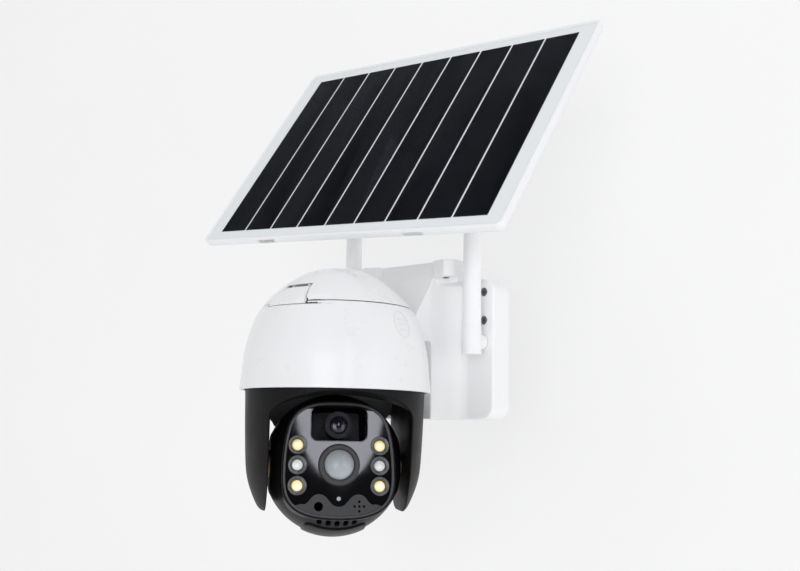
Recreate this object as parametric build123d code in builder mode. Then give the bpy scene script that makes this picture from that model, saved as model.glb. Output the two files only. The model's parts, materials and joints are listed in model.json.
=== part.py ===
from build123d import *
import math
import os

os.makedirs("parts", exist_ok=True)

# ------------------------------------------------------------------ driving dimensions (mm)
# Frame: origin on the wall, at the centre of the wall plate; -Y points out of the wall, +Z up.
BOX_W, BOX_H, BOX_R, BOX_D = 124.0, 94.8, 10.0, 18.9      # wall box
WALL_T = 2.2                                               # moulded wall thickness
AX_Y = -105.0                                              # vertical axis of the dome
RIM_Z, SEAM_Z = -32.2, 20.3                                # dome rim and lid seam
TILT_Z = RIM_Z - 45.0                                      # tilt axis height
PAN_REST, TILT_REST = 50.0, 8.0                            # stored pose of the camera head
EAR_X, EAR_Y, EAR_R, TOP_Z = 32.6, -31.6, 9.75, 59.7       # screw ears on the body top
ANT_X, ANT_Y, ANT_R, ANT_PIVOT_Z = 53.3, -31.9, 6.45, 4.0  # folding antennas
ANT_BOTTOM, ANT_TOP = -5.0, 116.0
PANEL_W, PANEL_H, PANEL_T = 269.0, 181.0, 6.0              # solar panel
PANEL_C = (0.0, -56.8, 146.9)
PANEL_YAW, PANEL_TILT, PANEL_ROT = 1.4, 57.8, -5.2
MAST_X, MAST_Y, MAST_R = 35.5, -7.0, 4.0                   # panel mast
HEAD_R, HEAD_HALF = 43.3, 40.0                             # camera head: ball with flat sides
FACE_D = 28.0                                              # face plane, in front of the tilt axis
ARM_IN = 42.2                                              # inner faces of the yoke arms
WALL_BOLT_X, WALL_BOLT_Z, WALL_BOLT_R = 80.0, 50.0, 2.5    # wall screw pattern

Z_AXIS = Axis((0, AX_Y, 0), (0, 0, 1))
X_TILT = Axis((0, AX_Y, TILT_Z), (1, 0, 0))
SIDE = Plane(origin=(0, AX_Y, 0), x_dir=(1, 0, 0), z_dir=(0, -1, 0))   # x = X, y = Z, on the dome axis


def save(p, name):
    p.label = name
    export_step(p, "parts/%s.step" % name)


def yoke_pose(p):
    return p.rotate(Z_AXIS, PAN_REST)


def head_pose(p):
    return p.rotate(X_TILT, -TILT_REST).rotate(Z_AXIS, PAN_REST)


def inset(points, t):
    """Offset an open (r, z) profile towards its inner side by t."""
    out = []
    n = len(points)
    for i, (r, z) in enumerate(points):
        a = points[max(i - 1, 0)]
        b = points[min(i + 1, n - 1)]
        dx, dz = b[0] - a[0], b[1] - a[1]
        k = math.hypot(dx, dz)
        out.append((max(r - t * dz / k, 0.0) if i < n - 1 or r > 0 else 0.0, z + t * dx / k))
    return out


def gear_points(teeth, module, turn, slim=0.12):
    """Involute tooth outline, 20 degree pressure angle, thinned by slim for backlash."""
    rp = module * teeth / 2
    rb = rp * math.cos(math.radians(20))
    ra, rf = rp + 0.8 * module, rp - 1.1 * module
    inv = lambda a: math.tan(a) - a
    half = (math.pi * module / 2 - slim) / 2 / rp
    flank = []
    for k in range(4):
        r = max(rb, rf) + (ra - max(rb, rf)) * k / 3
        a = math.acos(min(rb / r, 1.0))
        flank.append((r, half + inv(math.radians(20)) - inv(a)))
    if rf < rb:
        flank.insert(0, (rf, flank[0][1]))
    pts = []
    for i in range(teeth):
        c = 2 * math.pi * i / teeth + turn
        for r, h in flank:
            pts.append((r * math.cos(c - h), r * math.sin(c - h)))
        for r, h in reversed(flank):
            pts.append((r * math.cos(c + h), r * math.sin(c + h)))
    return pts


# ------------------------------------------------------------------ dome profiles (radius, height)
DOME = [(60.3, RIM_Z), (60.2, -30.6), (59.6, -25.0), (58.6, -13.0), (56.4, -0.7), (53.6, 8.8), (50.6, 15.8), (47.8, SEAM_Z)]
LID = [(47.6, SEAM_Z + 0.5), (45.7, 23.1), (38.2, 30.6), (30.3, 37.0), (22.3, 41.9), (14.2, 44.9), (6.2, 46.2), (0.0, 46.4)]
DOME_IN = inset(DOME, 2.5)
LID_IN = inset(LID, 2.4)
LID_IN[-1] = (0.0, 44.0)
DOME_IN[0] = (57.8, RIM_Z)
DOME_IN[-1] = (45.2, SEAM_Z)
LID_IN[0] = (45.0, SEAM_Z + 0.5)

# ------------------------------------------------------------------ wall plate
with BuildPart() as wall_plate:
    with BuildSketch(Plane.XZ):
        RectangleRounded(104, 76, 5)
    extrude(amount=2.5)
    with BuildSketch(Plane.XZ.offset(2.5)):
        RectangleRounded(60, 30, 4)
    extrude(amount=2.0)
    with BuildSketch(Plane.XZ.offset(-1)):
        with GridLocations(WALL_BOLT_X, WALL_BOLT_Z, 2, 2):
            Circle(WALL_BOLT_R)
    extrude(amount=8, mode=Mode.SUBTRACT)
save(wall_plate.part, "wall_plate")

# ------------------------------------------------------------------ back cover: closes the box from behind, hollow for the wall plate
with BuildPart() as back_cover:
    with BuildSketch(Plane.XZ.offset(0.2)):
        RectangleRounded(BOX_W - 2 * WALL_T - 0.4, BOX_H - 2 * WALL_T - 0.4, BOX_R - WALL_T)
    extrude(amount=6.8)
    with BuildSketch(Plane.XZ.offset(0.2)):
        RectangleRounded(105.2, 77.2, 5.5)
    extrude(amount=4.6, mode=Mode.SUBTRACT)
    with BuildSketch(Plane.XZ.offset(0.2)):
        Circle(6)
        with GridLocations(110, 82, 2, 2):
            Circle(1.6)
    extrude(amount=10, mode=Mode.SUBTRACT)
save(back_cover.part, "back_cover")

# ------------------------------------------------------------------ gasket between box and back cover
with BuildPart() as box_gasket:
    with BuildSketch(Plane.XZ.offset(7.0)):
        RectangleRounded(BOX_W - 2 * WALL_T - 0.4, BOX_H - 2 * WALL_T - 0.4, BOX_R - WALL_T)
        RectangleRounded(BOX_W - 2 * WALL_T - 6.4, BOX_H - 2 * WALL_T - 6.4, BOX_R - WALL_T - 2.8, mode=Mode.SUBTRACT)
        with GridLocations(110, 82, 2, 2):
            Circle(1.7, mode=Mode.SUBTRACT)
    extrude(amount=1.2)
save(box_gasket.part, "box_gasket")

# ------------------------------------------------------------------ body housing: box, bulge, top deck with ears, neck to the dome
with BuildPart() as body_housing:
    # box
    with BuildSketch(Plane.XZ):
        RectangleRounded(BOX_W, BOX_H, BOX_R)
    extrude(amount=BOX_D)
    fillet(body_housing.edges().group_by(Axis.Y)[0], 1.6)
    # bulge with a concave flute on each side
    with BuildSketch(Plane.XY.offset(-BOX_H / 2)):
        with BuildLine():
            Polyline((-41.5, -12), (-41.5, -BOX_D))
            ThreePointArc((-41.5, -BOX_D), (-30.2, -25.4), (-24.4, -37.5))
            Line((-24.4, -37.5), (24.4, -37.5))
            ThreePointArc((24.4, -37.5), (30.2, -25.4), (41.5, -BOX_D))
            Polyline((41.5, -BOX_D), (41.5, -12), (-41.5, -12))
        make_face()
    extrude(amount=BOX_H)
    # top deck with the two ears
    with BuildSketch(Plane.XY.offset(47.9)):
        with BuildLine():
            Polyline((-EAR_X - EAR_R, -14), (-EAR_X - EAR_R, EAR_Y))
            ThreePointArc((-EAR_X - EAR_R, EAR_Y), (-EAR_X, EAR_Y - EAR_R), (-EAR_X + EAR_R, EAR_Y))
            Polyline((-EAR_X + EAR_R, EAR_Y), (-EAR_X + EAR_R, -33.2), (EAR_X - EAR_R, -33.2), (EAR_X - EAR_R, EAR_Y))
            ThreePointArc((EAR_X - EAR_R, EAR_Y), (EAR_X, EAR_Y - EAR_R), (EAR_X + EAR_R, EAR_Y))
            Polyline((EAR_X + EAR_R, EAR_Y), (EAR_X + EAR_R, -14), (-EAR_X - EAR_R, -14))
        make_face()
    extrude(amount=TOP_Z - 47.9)
    with BuildSketch(Plane.XY.offset(44)):
        with Locations((0, -23.6)):
            Rectangle(84.4, 19.2)
    extrude(amount=4)
    # neck: concave saddle that runs down from the top edge to the back of the dome
    with BuildSketch(Plane.YZ) as neck_side:
        with BuildLine():
            Line((-20, TOP_Z), (-33.2, TOP_Z))
            Spline((-33.2, TOP_Z), (-36.0, 50.0), (-40.0, 41.5), (-45.5, 31.5), (-50.5, 22.5), (-53.0, 17.6))
            Polyline((-53.0, 17.6), (-62.0, 17.6), (-62.0, 4.6), (-36, 4.6), (-20, 4.6), (-20, TOP_Z))
        make_face()
    extrude(amount=24.4, both=True)
    # taper the neck towards the dome
    for s in (1, -1):
        with BuildSketch(Plane.XY.offset(3)):
            with BuildLine():
                Polyline((s * 24.4, -38.0), (s * 18.5, -64), (s * 40, -64), (s * 40, -42), (s * 24.4, -38.0))
            make_face()
        extrude(amount=70, mode=Mode.SUBTRACT)
    # the dome stands in front of the neck; the lid needs swinging room
    with BuildSketch(SIDE):
        with BuildLine():
            Spline(*DOME)
            Polyline((47.8, SEAM_Z), (0, SEAM_Z), (0, RIM_Z), (60.3, RIM_Z))
        make_face()
    revolve(axis=Z_AXIS, mode=Mode.SUBTRACT)
    with BuildSketch(SIDE):
        with BuildLine():
            Polyline((0, 16), (51.4, 16), (51.4, 24), (41, 40), (0, 52), (0, 16))
        make_face()
    revolve(axis=Z_AXIS, mode=Mode.SUBTRACT)
    # hollow: battery bay and cable way
    with BuildSketch(Plane.XZ.offset(-1)):
        RectangleRounded(BOX_W - 2 * WALL_T, BOX_H - 2 * WALL_T, BOX_R - WALL_T)
    extrude(amount=BOX_D - WALL_T + 1, mode=Mode.SUBTRACT)
    with BuildSketch(Plane.XY.offset(-BOX_H / 2 + WALL_T)):
        with BuildLine():
            Polyline((-37.5, -12), (-37.5, -BOX_D + 1.0))
            ThreePointArc((-37.5, -BOX_D + 1.0), (-27.6, -24.2), (-22.2, -35.3))
            Line((-22.2, -35.3), (22.2, -35.3))
            ThreePointArc((22.2, -35.3), (27.6, -24.2), (37.5, -BOX_D + 1.0))
            Polyline((37.5, -BOX_D + 1.0), (37.5, -12), (-37.5, -12))
        make_face()
    extrude(amount=BOX_H - 2 * WALL_T, mode=Mode.SUBTRACT)
    with BuildSketch(Plane.XZ.offset(30)):
        with Locations((0, 11)):
            RectangleRounded(24, 8, 2)
    extrude(amount=40, mode=Mode.SUBTRACT)
    # screw recesses in the ears, from below
    with BuildSketch(Plane.XY.offset(47.9)):
        with Locations((EAR_X, EAR_Y), (-EAR_X, EAR_Y)):
            Circle(3.4)
    extrude(amount=6.0, mode=Mode.SUBTRACT)
    with BuildSketch(Plane.XY.offset(53.9)):
        with Locations((EAR_X, EAR_Y), (-EAR_X, EAR_Y)):
            Circle(1.3)
    extrude(amount=4.0, mode=Mode.SUBTRACT)
    # front fixing holes beside the antennas
    with BuildSketch(Plane.XZ.offset(BOX_D + 1)):
        with Locations((ANT_X, 38.3), (-ANT_X, 38.3), (ANT_X, 19.1), (-ANT_X, 19.1)):
            Circle(2.9)
    extrude(amount=-3.4, mode=Mode.SUBTRACT)
    # antenna bush holes
    with BuildSketch(Plane.XZ.offset(BOX_D + 1)):
        with Locations((ANT_X, ANT_PIVOT_Z), (-ANT_X, ANT_PIVOT_Z)):
            Circle(4.0)
    extrude(amount=-8, mode=Mode.SUBTRACT)
    # underside holes: power inlet and power button
    with BuildSketch(Plane.XY.offset(-BOX_H / 2 - 1)):
        with Locations((-14, -14)):
            Circle(5.0)
        with Locations((14, -14)):
            Circle(4.0)
    extrude(amount=6, mode=Mode.SUBTRACT)
    # mast socket on the top of the box
    with BuildSketch(Plane.XY.offset(46.0)):
        with Locations((MAST_X, -7.2)):
            RectangleRounded(13, 13, 3)
    extrude(amount=12.4)
    with BuildSketch(Plane.XY.offset(46.0)):
        with Locations((MAST_X, MAST_Y)):
            Circle(MAST_R)
    extrude(amount=30, mode=Mode.SUBTRACT)
save(body_housing.part, "body_housing")
print("body_housing", body_housing.part.volume, len(body_housing.part.solids()))

# ------------------------------------------------------------------ screws of the fixed body, grouped in one node
with BuildPart() as housing_screws:
    # front screws beside the antennas
    with BuildSketch(Plane.XZ.offset(BOX_D - 1.2)):
        with Locations((ANT_X, 38.3), (-ANT_X, 38.3), (ANT_X, 19.1), (-ANT_X, 19.1)):
            Circle(2.6)
            RegularPolygon(1.2, 6, mode=Mode.SUBTRACT)
    extrude(amount=-1.1)
    with BuildSketch(Plane.XZ.offset(BOX_D - 2.3)):
        with Locations((ANT_X, 38.3), (-ANT_X, 38.3), (ANT_X, 19.1), (-ANT_X, 19.1)):
            Circle(1.3)
    extrude(amount=-6.5)
    # screws under the ears
    with BuildSketch(Plane.XY.offset(51.6)):
        with Locations((EAR_X, EAR_Y), (-EAR_X, EAR_Y)):
            Circle(2.7)
            RegularPolygon(1.2, 6, mode=Mode.SUBTRACT)
    extrude(amount=1.4)
    with BuildSketch(Plane.XY.offset(53.0)):
        with Locations((EAR_X, EAR_Y), (-EAR_X, EAR_Y)):
            Circle(1.3)
    extrude(amount=4.5)
    # back cover screws
    with BuildSketch(Plane.XZ.offset(0.2)):
        with Locations((55, 41), (-55, 41), (55, -41), (-55, -41)):
            Circle(1.6)
    extrude(amount=9)
    # board screws on the chassis posts
    with BuildSketch(Plane(origin=(0, AX_Y, 7.6))):
        with Locations((30, -14), (-30, -14), (30, 22), (-30, 22)):
            Circle(2.4)
    extrude(amount=1.5)
    with BuildSketch(Plane(origin=(0, AX_Y, 7.6))):
        with Locations((30, -14), (-30, -14), (30, 22), (-30, 22)):
            Circle(1.2)
    extrude(amount=-9)
save(housing_screws.part, "housing_screws")

# ------------------------------------------------------------------ battery, charge board, power button, inlet
with BuildPart() as battery_cells:
    with BuildSketch(Plane.XY.offset(-31)):
        with Locations((-19.5, -17.4), (0, -17.4), (19.5, -17.4)):
            Circle(9.2)
    extrude(amount=65)
save(battery_cells.part, "battery_cells")

with BuildPart() as battery_holder:
    with BuildSketch(Plane.XY.offset(-34)):
        with Locations((0, -15.6)):
            RectangleRounded(54, 15, 3)
    extrude(amount=3)
    with BuildSketch(Plane.XY.offset(34)):
        with Locations((0, -15.6)):
            RectangleRounded(54, 15, 3)
    extrude(amount=3)
    with BuildSketch(Plane.XY.offset(-34)):
        with Locations((0, -7.7)):
            Rectangle(50, 1.0)
    extrude(amount=71)
save(battery_holder.part, "battery_holder")

with BuildPart() as charge_board:
    with BuildSketch(Plane.XZ.offset(8.9)):
        with Locations((44.5, -16)):
            Rectangle(24, 46)
    extrude(amount=1.2)
    with BuildSketch(Plane.XZ.offset(10.1)):
        with Locations((40, -6), (48, -12), (41, -24), (49, -30)):
            Rectangle(5, 5)
    extrude(amount=1.4)
save(charge_board.part, "charge_board")

with BuildPart() as power_inlet:
    with BuildSketch(Plane.XY.offset(-BOX_H / 2 + 0.2)):
        with Locations((-14, -14)):
            Circle(4.95)
            Circle(2.75, mode=Mode.SUBTRACT)
    extrude(amount=10)
    with BuildSketch(Plane.XY.offset(-BOX_H / 2 + 10.2)):
        with Locations((-14, -14)):
            Circle(4.95)
    extrude(amount=1.2)
save(power_inlet.part, "power_inlet")

with BuildPart() as power_button:
    with BuildSketch(Plane.XY.offset(-BOX_H / 2 + 0.3)):
        with Locations((14, -14)):
            Circle(3.6)
    extrude(amount=5.2)
    chamfer(power_button.edges().group_by(Axis.Z)[0], 0.4)
save(power_button.part, "power_button")

# ------------------------------------------------------------------ mast for the panel, hidden behind the right antenna line
PANEL = Plane(Location(PANEL_C) * Rot(0, 0, PANEL_YAW) * Rot(PANEL_TILT, 0, 0) * Rot(0, 0, PANEL_ROT))
TILTP = Plane(Location(PANEL_C) * Rot(0, 0, PANEL_YAW) * Rot(PANEL_TILT, 0, 0))
nz = TILTP.z_dir
HINGE = Vector(*PANEL_C) - nz * (PANEL_T + 15.0)
HX = TILTP.x_dir
print("hinge", HINGE, "axis", HX, "normal", nz)
ARM_Z = HINGE.Z
with BuildPart() as panel_mast:
    with BuildLine() as mast_path:
        FilletPolyline((MAST_X, MAST_Y, 46.2), (MAST_X, MAST_Y, ARM_Z), (HINGE.X + 8.0, HINGE.Y + 11.5, ARM_Z), radius=12)
    with BuildSketch(Plane(origin=(MAST_X, MAST_Y, 46.2), z_dir=(0, 0, 1))):
        Circle(MAST_R)
    sweep()
    # clevis fork at the end of the arm
    CLV = Plane(origin=HINGE, x_dir=HX, z_dir=(0, 0, 1))
    with BuildSketch(CLV.offset(-6.5)):
        with Locations((0, 11.0)):
            RectangleRounded(21, 8, 2)
    extrude(amount=13)
    for off in (5.5, -10.5):
        with BuildSketch(Plane(origin=HINGE, x_dir=(0, 0, 1), z_dir=HX).offset(off)):
            Circle(6.5)
            with Locations((0, -4.5)):
                Rectangle(13, 9)
        extrude(amount=5)
    with BuildSketch(Plane(origin=HINGE, x_dir=(0, 0, 1), z_dir=HX).offset(-12)):
        Circle(2.5)
    extrude(amount=24, mode=Mode.SUBTRACT)
save(panel_mast.part, "panel_mast")
print("mast", panel_mast.part.volume, len(panel_mast.part.solids()))

HB = Plane(origin=HINGE, x_dir=(0, 0, 1), z_dir=HX)
with BuildPart() as panel_hinge_bolt:
    with BuildSketch(HB.offset(-10.5)):
        Circle(2.5)
    extrude(amount=21)
    with BuildSketch(HB.offset(-13.5)):
        RegularPolygon(4.6, 6)
    extrude(amount=3)
    # wing nut on the other end
    with BuildSketch(HB.offset(10.5)):
        Circle(4.6)
        Rectangle(20, 3)
    extrude(amount=4)
save(panel_hinge_bolt.part, "panel_hinge_bolt")

# tilt head: knuckle between the fork ears, with the turntable stud behind the panel
with BuildPart() as panel_tilt_head:
    with BuildSketch(HB.offset(-5.2)):
        Circle(6.4)
    extrude(amount=10.4)
    with BuildSketch(TILTP.offset(-PANEL_T - 15.0)):
        Rectangle(10.4, 10)
    extrude(amount=9.5)
    with BuildSketch(TILTP.offset(-PANEL_T - 5.5)):
        Circle(14)
    extrude(amount=2.2)
    with BuildSketch(TILTP.offset(-PANEL_T - 3.3)):
        Circle(4.5)
    extrude(amount=2.0)
    with BuildSketch(HB.offset(-8)):
        Circle(2.55)
    extrude(amount=16, mode=Mode.SUBTRACT)
save(panel_tilt_head.part, "panel_tilt_head")
print("tilt head", panel_tilt_head.part.volume, len(panel_tilt_head.part.solids()))

# ------------------------------------------------------------------ solar panel
with BuildPart() as panel_frame:
    with BuildSketch(PANEL.offset(-PANEL_T)):
        RectangleRounded(PANEL_W, PANEL_H, 4)
    extrude(amount=PANEL_T)
    with BuildSketch(PANEL.offset(-1.1)):
        RectangleRounded(PANEL_W - 5, PANEL_H - 5, 2.5)
    extrude(amount=2, mode=Mode.SUBTRACT)
    with BuildSketch(PANEL.offset(-PANEL_T - 1)):
        RectangleRounded(PANEL_W - 10, PANEL_H - 10, 3)
        Circle(26, mode=Mode.SUBTRACT)
        with Locations((0, -60)):
            Rectangle(52, 36, mode=Mode.SUBTRACT)
    extrude(amount=3.4, mode=Mode.SUBTRACT)
    # turntable boss behind the centre
    with BuildSketch(PANEL.offset(-PANEL_T - 3.0)):
        Circle(22)
        Circle(4.56, mode=Mode.SUBTRACT)
    extrude(amount=3.0)
    # clip notches on the long edges
    with BuildSketch(PANEL.offset(-PANEL_T - 1)):
        with Locations((-67, PANEL_H / 2), (67, PANEL_H / 2), (-67, -PANEL_H / 2), (67, -PANEL_H / 2)):
            Rectangle(18, 2.2)
    extrude(amount=4.6, mode=Mode.SUBTRACT)
save(panel_frame.part, "panel_frame")
print("panel_frame", panel_frame.part.volume, len(panel_frame.part.solids()))

CELL_W, CELL_H, CELL_N = 241.0, 162.0, 9
with BuildPart() as solar_cells:
    pitch = (CELL_W + 1.7) / CELL_N
    with BuildSketch(PANEL.offset(-1.1)):
        with Locations(*[(-(CELL_W + 1.7) / 2 + pitch * (i + 0.5), 0) for i in range(CELL_N)]):
            Rectangle(pitch - 1.7, CELL_H)
    extrude(amount=0.3)
save(solar_cells.part, "solar_cells")

with BuildPart() as panel_glass:
    with BuildSketch(PANEL.offset(-0.8)):
        RectangleRounded(PANEL_W - 5.2, PANEL_H - 5.2, 2.4)
    extrude(amount=0.5)
save(panel_glass.part, "panel_glass")

with BuildPart() as junction_box:
    with BuildSketch(PANEL.offset(-PANEL_T)):
        with Locations((0, -60)):
            RectangleRounded(46, 30, 3)
    extrude(amount=-9)
    fillet(junction_box.faces().sort_by(Axis(PANEL.origin, PANEL.z_dir))[0].edges(), 2)
    with BuildSketch(PANEL.offset(-PANEL_T)):
        with Locations((0, -60)):
            Rectangle(30, 12)
    extrude(amount=-3, mode=Mode.SUBTRACT)
save(junction_box.part, "junction_box")

# ------------------------------------------------------------------ dome shell, fixed
with BuildPart() as dome_shell:
    with BuildSketch(SIDE):
        with BuildLine():
            Spline(*DOME)
            Line(DOME[-1], DOME_IN[-1])
            Spline(*reversed(DOME_IN))
            Line(DOME_IN[0], DOME[0])
        make_face()
    revolve(axis=Z_AXIS)
    # inner ledge that carries the chassis
    with BuildSketch(SIDE):
        with BuildLine():
            Polyline((52, -13.0), (56.7, -13.0), (56.3, -10.0), (54.5, -10.0), (52, -13.0))
        make_face()
    revolve(axis=Z_AXIS)
    # cable window to the neck
    with BuildSketch(Plane.XZ.offset(40)):
        with Locations((0, 11)):
            RectangleRounded(22, 6, 2)
    extrude(amount=30, mode=Mode.SUBTRACT)
    # hinge knuckles for the lid
    with BuildSketch(Plane.YZ) as k:
        with BuildLine():
            Polyline((-57.8, 17.9), (-53.6, 17.9), (-52.8, 21.6))
            ThreePointArc((-52.8, 21.6), (-55.2, 24.0), (-57.6, 21.6))
            Polyline((-57.6, 21.6), (-57.8, 17.9))
        make_face()
    extrude(amount=14, both=True)
    with BuildSketch(Plane.YZ):
        with Locations((-55.2, 21.6)):
            Circle(3.2)
    extrude(amount=7.4, both=True, mode=Mode.SUBTRACT)
    with BuildSketch(Plane.YZ):
        with Locations((-55.2, 21.6)):
            Circle(1.1)
    extrude(amount=20, both=True, mode=Mode.SUBTRACT)
    # finger scoops in the seam beside the latch
    for s in (1, -1):
        with BuildSketch(Plane.XY.offset(SEAM_Z + 1)):
            with BuildLine():
                Polyline((s * 15.2, AX_Y - 60), (s * 15.2, AX_Y - 43.8), (s * 34.0, AX_Y - 35.6), (s * 40.0, AX_Y - 60), (s * 15.2, AX_Y - 60))
            make_face()
        extrude(amount=-3.2, taper=0, mode=Mode.SUBTRACT)
    # latch seat and catch below the seam
    with BuildSketch(Plane.XZ.offset(-AX_Y + 30)):
        with Locations((0, SEAM_Z - 1.0)):
            Rectangle(31.2, 2.6)
    extrude(amount=40, mode=Mode.SUBTRACT)
save(dome_shell.part, "dome_shell")
print("dome_shell", dome_shell.part.volume, len(dome_shell.part.solids()))

# ------------------------------------------------------------------ lid, hinged at the back of the dome
LATCH_TOP, LATCH_BOT = 30.6, 18.4          # heights of the latch tab
with BuildPart() as lid_scoop:
    with BuildSketch(Plane.XZ.offset(-AX_Y + 20)):
        with BuildLine():
            Polyline((12.0, SEAM_Z - 1), (12.0, SEAM_Z + 5.6), (16.0, SEAM_Z + 4.6), (34.0, SEAM_Z + 0.5), (34.0, SEAM_Z - 1), (12.0, SEAM_Z - 1))
        make_face()
    extrude(amount=50)
    with BuildSketch(Plane.XY.offset(SEAM_Z - 5)):
        with BuildLine():
            Polyline((5, AX_Y - 70), (5, AX_Y - 44.4), (15.2, AX_Y - 42.9), (34.0, AX_Y - 33.6), (40.0, AX_Y - 70), (5, AX_Y - 70))
        make_face()
    extrude(amount=20, mode=Mode.INTERSECT)
# lugs inside the lid that hold the latch pin
PIN_Y, PIN_Z = AX_Y - 34.0, 27.4           # latch pin
with BuildPart() as latch_bracket:
    with BuildSketch(Plane.YZ):
        with BuildLine():
            Polyline((AX_Y - 37.6, 27.2), (AX_Y - 33.4, 33.5), (AX_Y - 24.0, 39.5), (AX_Y - 24.0, 35.4), (AX_Y - 31.0, 26.6), (AX_Y - 34.4, 25.4), (AX_Y - 37.6, 27.2))
        make_face()
    extrude(amount=8.0, both=True)
    with BuildSketch(Plane.YZ):
        with Locations((AX_Y - 35, 28)):
            Rectangle(12, 9.5)
    extrude(amount=6.0, both=True, mode=Mode.SUBTRACT)
    with BuildSketch(SIDE):
        with BuildLine():
            Spline(*[(r + 0.4 if r > 0 else r, z + 0.4) for r, z in LID_IN])
            Polyline((0, LID_IN[-1][1] + 0.4), (0, 60), (60, 60), (60, LID_IN[0][1] + 0.4), (LID_IN[0][0] + 0.4, LID_IN[0][1] + 0.4))
        make_face()
    revolve(axis=Z_AXIS, mode=Mode.SUBTRACT)
    # room for the inner face of the latch tab
    with BuildSketch(SIDE):
        with BuildLine():
            Polyline((35.2, 31.4), (35.7, 28.4), (39.4, 24.8), (43.4, 20.6), (45.2, 17.0), (60, 17.0), (60, 31.4), (35.2, 31.4))
        make_face()
    revolve(axis=Z_AXIS, mode=Mode.SUBTRACT)
    with BuildSketch(Plane.YZ):
        with Locations((PIN_Y, PIN_Z)):
            Circle(0.8)
    extrude(amount=30, both=True, mode=Mode.SUBTRACT)

with BuildPart() as lid:
    with BuildSketch(SIDE):
        with BuildLine():
            Spline(*LID)
            Line(LID[-1], LID_IN[-1])
            Spline(*reversed(LID_IN))
            Line(LID_IN[0], LID[0])
        make_face()
    revolve(axis=Z_AXIS)
    # hinge tongue
    with BuildSketch(Plane.YZ):
        with BuildLine():
            Polyline((-60.5, 22.2), (-60.5, 26.0), (-55.2, 24.2))
            ThreePointArc((-55.2, 24.2), (-52.6, 21.6), (-55.2, 19.0))
            Polyline((-55.2, 19.0), (-56.6, 20.9), (-57.6, 22.2), (-60.5, 22.2))
        make_face()
    extrude(amount=7.0, both=True)
    with BuildSketch(Plane.YZ):
        with Locations((-55.2, 21.6)):
            Circle(1.15)
    extrude(amount=20, both=True, mode=Mode.SUBTRACT)
    # pocket for the latch tab, and the hollow above it
    with BuildSketch(Plane.XZ.offset(-AX_Y + 20)):
        with BuildLine():
            Polyline((-15.5, 15), (-15.5, SEAM_Z), (-11.1, LATCH_TOP), (-11.1, LATCH_TOP + 1.8), (11.1, LATCH_TOP + 1.8), (11.1, LATCH_TOP), (15.5, SEAM_Z), (15.5, 15), (-15.5, 15))
        make_face()
    extrude(amount=50, mode=Mode.SUBTRACT)
    # finger scoops in the lid edge beside the latch
    add(lid_scoop.part, mode=Mode.SUBTRACT)
    add(mirror(lid_scoop.part, about=Plane.YZ, mode=Mode.PRIVATE), mode=Mode.SUBTRACT)
    add(latch_bracket.part)
save(lid.part, "lid")
print("lid", lid.part.volume, len(lid.part.solids()))

with BuildPart() as lid_hinge_pin:
    with BuildSketch(Plane.YZ):
        with Locations((-55.2, 21.6)):
            Circle(1.1)
    extrude(amount=13.6, both=True)
save(lid_hinge_pin.part, "lid_hinge_pin")

# latch tab: a curved tongue that snaps over the seam
with BuildPart() as latch:
    with BuildSketch(SIDE):
        with BuildLine():
            Spline((48.55, 18.4), (47.8, SEAM_Z), (45.9, 23.0), (41.8, 27.2), (38.0, 30.6))
            Line((38.0, 30.6), (36.3, 28.9))
            Spline((36.3, 28.9), (40.0, 25.6), (44.1, 21.5), (45.9, 19.0), (46.3, 18.4))
            Line((46.3, 18.4), (48.55, 18.4))
        make_face()
    revolve(axis=Z_AXIS)
    with BuildSketch(Plane.XZ.offset(-AX_Y - 70)):
        Rectangle(200, 200)
        with BuildLine():
            Polyline((-14.8, LATCH_BOT), (-14.6, SEAM_Z), (-10.3, LATCH_TOP - 0.2), (10.3, LATCH_TOP - 0.2), (14.6, SEAM_Z), (14.8, LATCH_BOT), (-14.8, LATCH_BOT))
        make_face(mode=Mode.SUBTRACT)
    extrude(amount=140, mode=Mode.SUBTRACT)
    with BuildSketch(Plane.XZ.offset(-AX_Y + 20)):
        Rectangle(200, 200)
    extrude(amount=-90, mode=Mode.SUBTRACT)
    # pivot lugs behind the tab
    with BuildSketch(Plane.YZ):
        with BuildLine():
            Polyline((AX_Y - 37.6, 29.8), (AX_Y - 33.6, 29.2), (AX_Y - 32.2, 27.2), (AX_Y - 33.4, 25.6), (AX_Y - 35.6, 25.4), (AX_Y - 39.0, 27.4), (AX_Y - 37.6, 29.8))
        make_face()
    extrude(amount=5.6, both=True)
    with BuildSketch(Plane.YZ):
        with Locations((PIN_Y, PIN_Z)):
            Circle(0.85)
    extrude(amount=30, both=True, mode=Mode.SUBTRACT)
save(latch.part, "latch")
print("latch", latch.part.volume, len(latch.part.solids()))

with BuildPart() as latch_pin:
    with BuildSketch(Plane.YZ):
        with Locations((PIN_Y, PIN_Z)):
            Circle(0.8)
    extrude(amount=7.9, both=True)
save(latch_pin.part, "latch_pin")

# ------------------------------------------------------------------ inside the dome
with BuildPart() as chassis_plate:
    with BuildSketch(Plane(origin=(0, AX_Y, -16))):
        Circle(54.0)
        Circle(15.0, mode=Mode.SUBTRACT)
        with Locations((0, -30)):
            Circle(4.0, mode=Mode.SUBTRACT)
        with Locations((22, 26), (-22, 26)):
            RectangleRounded(16, 20, 3, mode=Mode.SUBTRACT)
    extrude(amount=2.9)
    with BuildSketch(Plane(origin=(0, AX_Y, -13.1))):
        with Locations((30, -14), (-30, -14), (30, 22), (-30, 22)):
            Circle(2.8)
            Circle(1.2, mode=Mode.SUBTRACT)
    extrude(amount=19.1)
save(chassis_plate.part, "chassis_plate")

with BuildPart() as pan_bearing:
    with BuildSketch(Plane(origin=(0, AX_Y, -16.0))):
        Circle(15.0)
        Circle(10.06, mode=Mode.SUBTRACT)
    extrude(amount=4.4)
save(pan_bearing.part, "pan_bearing")

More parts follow.
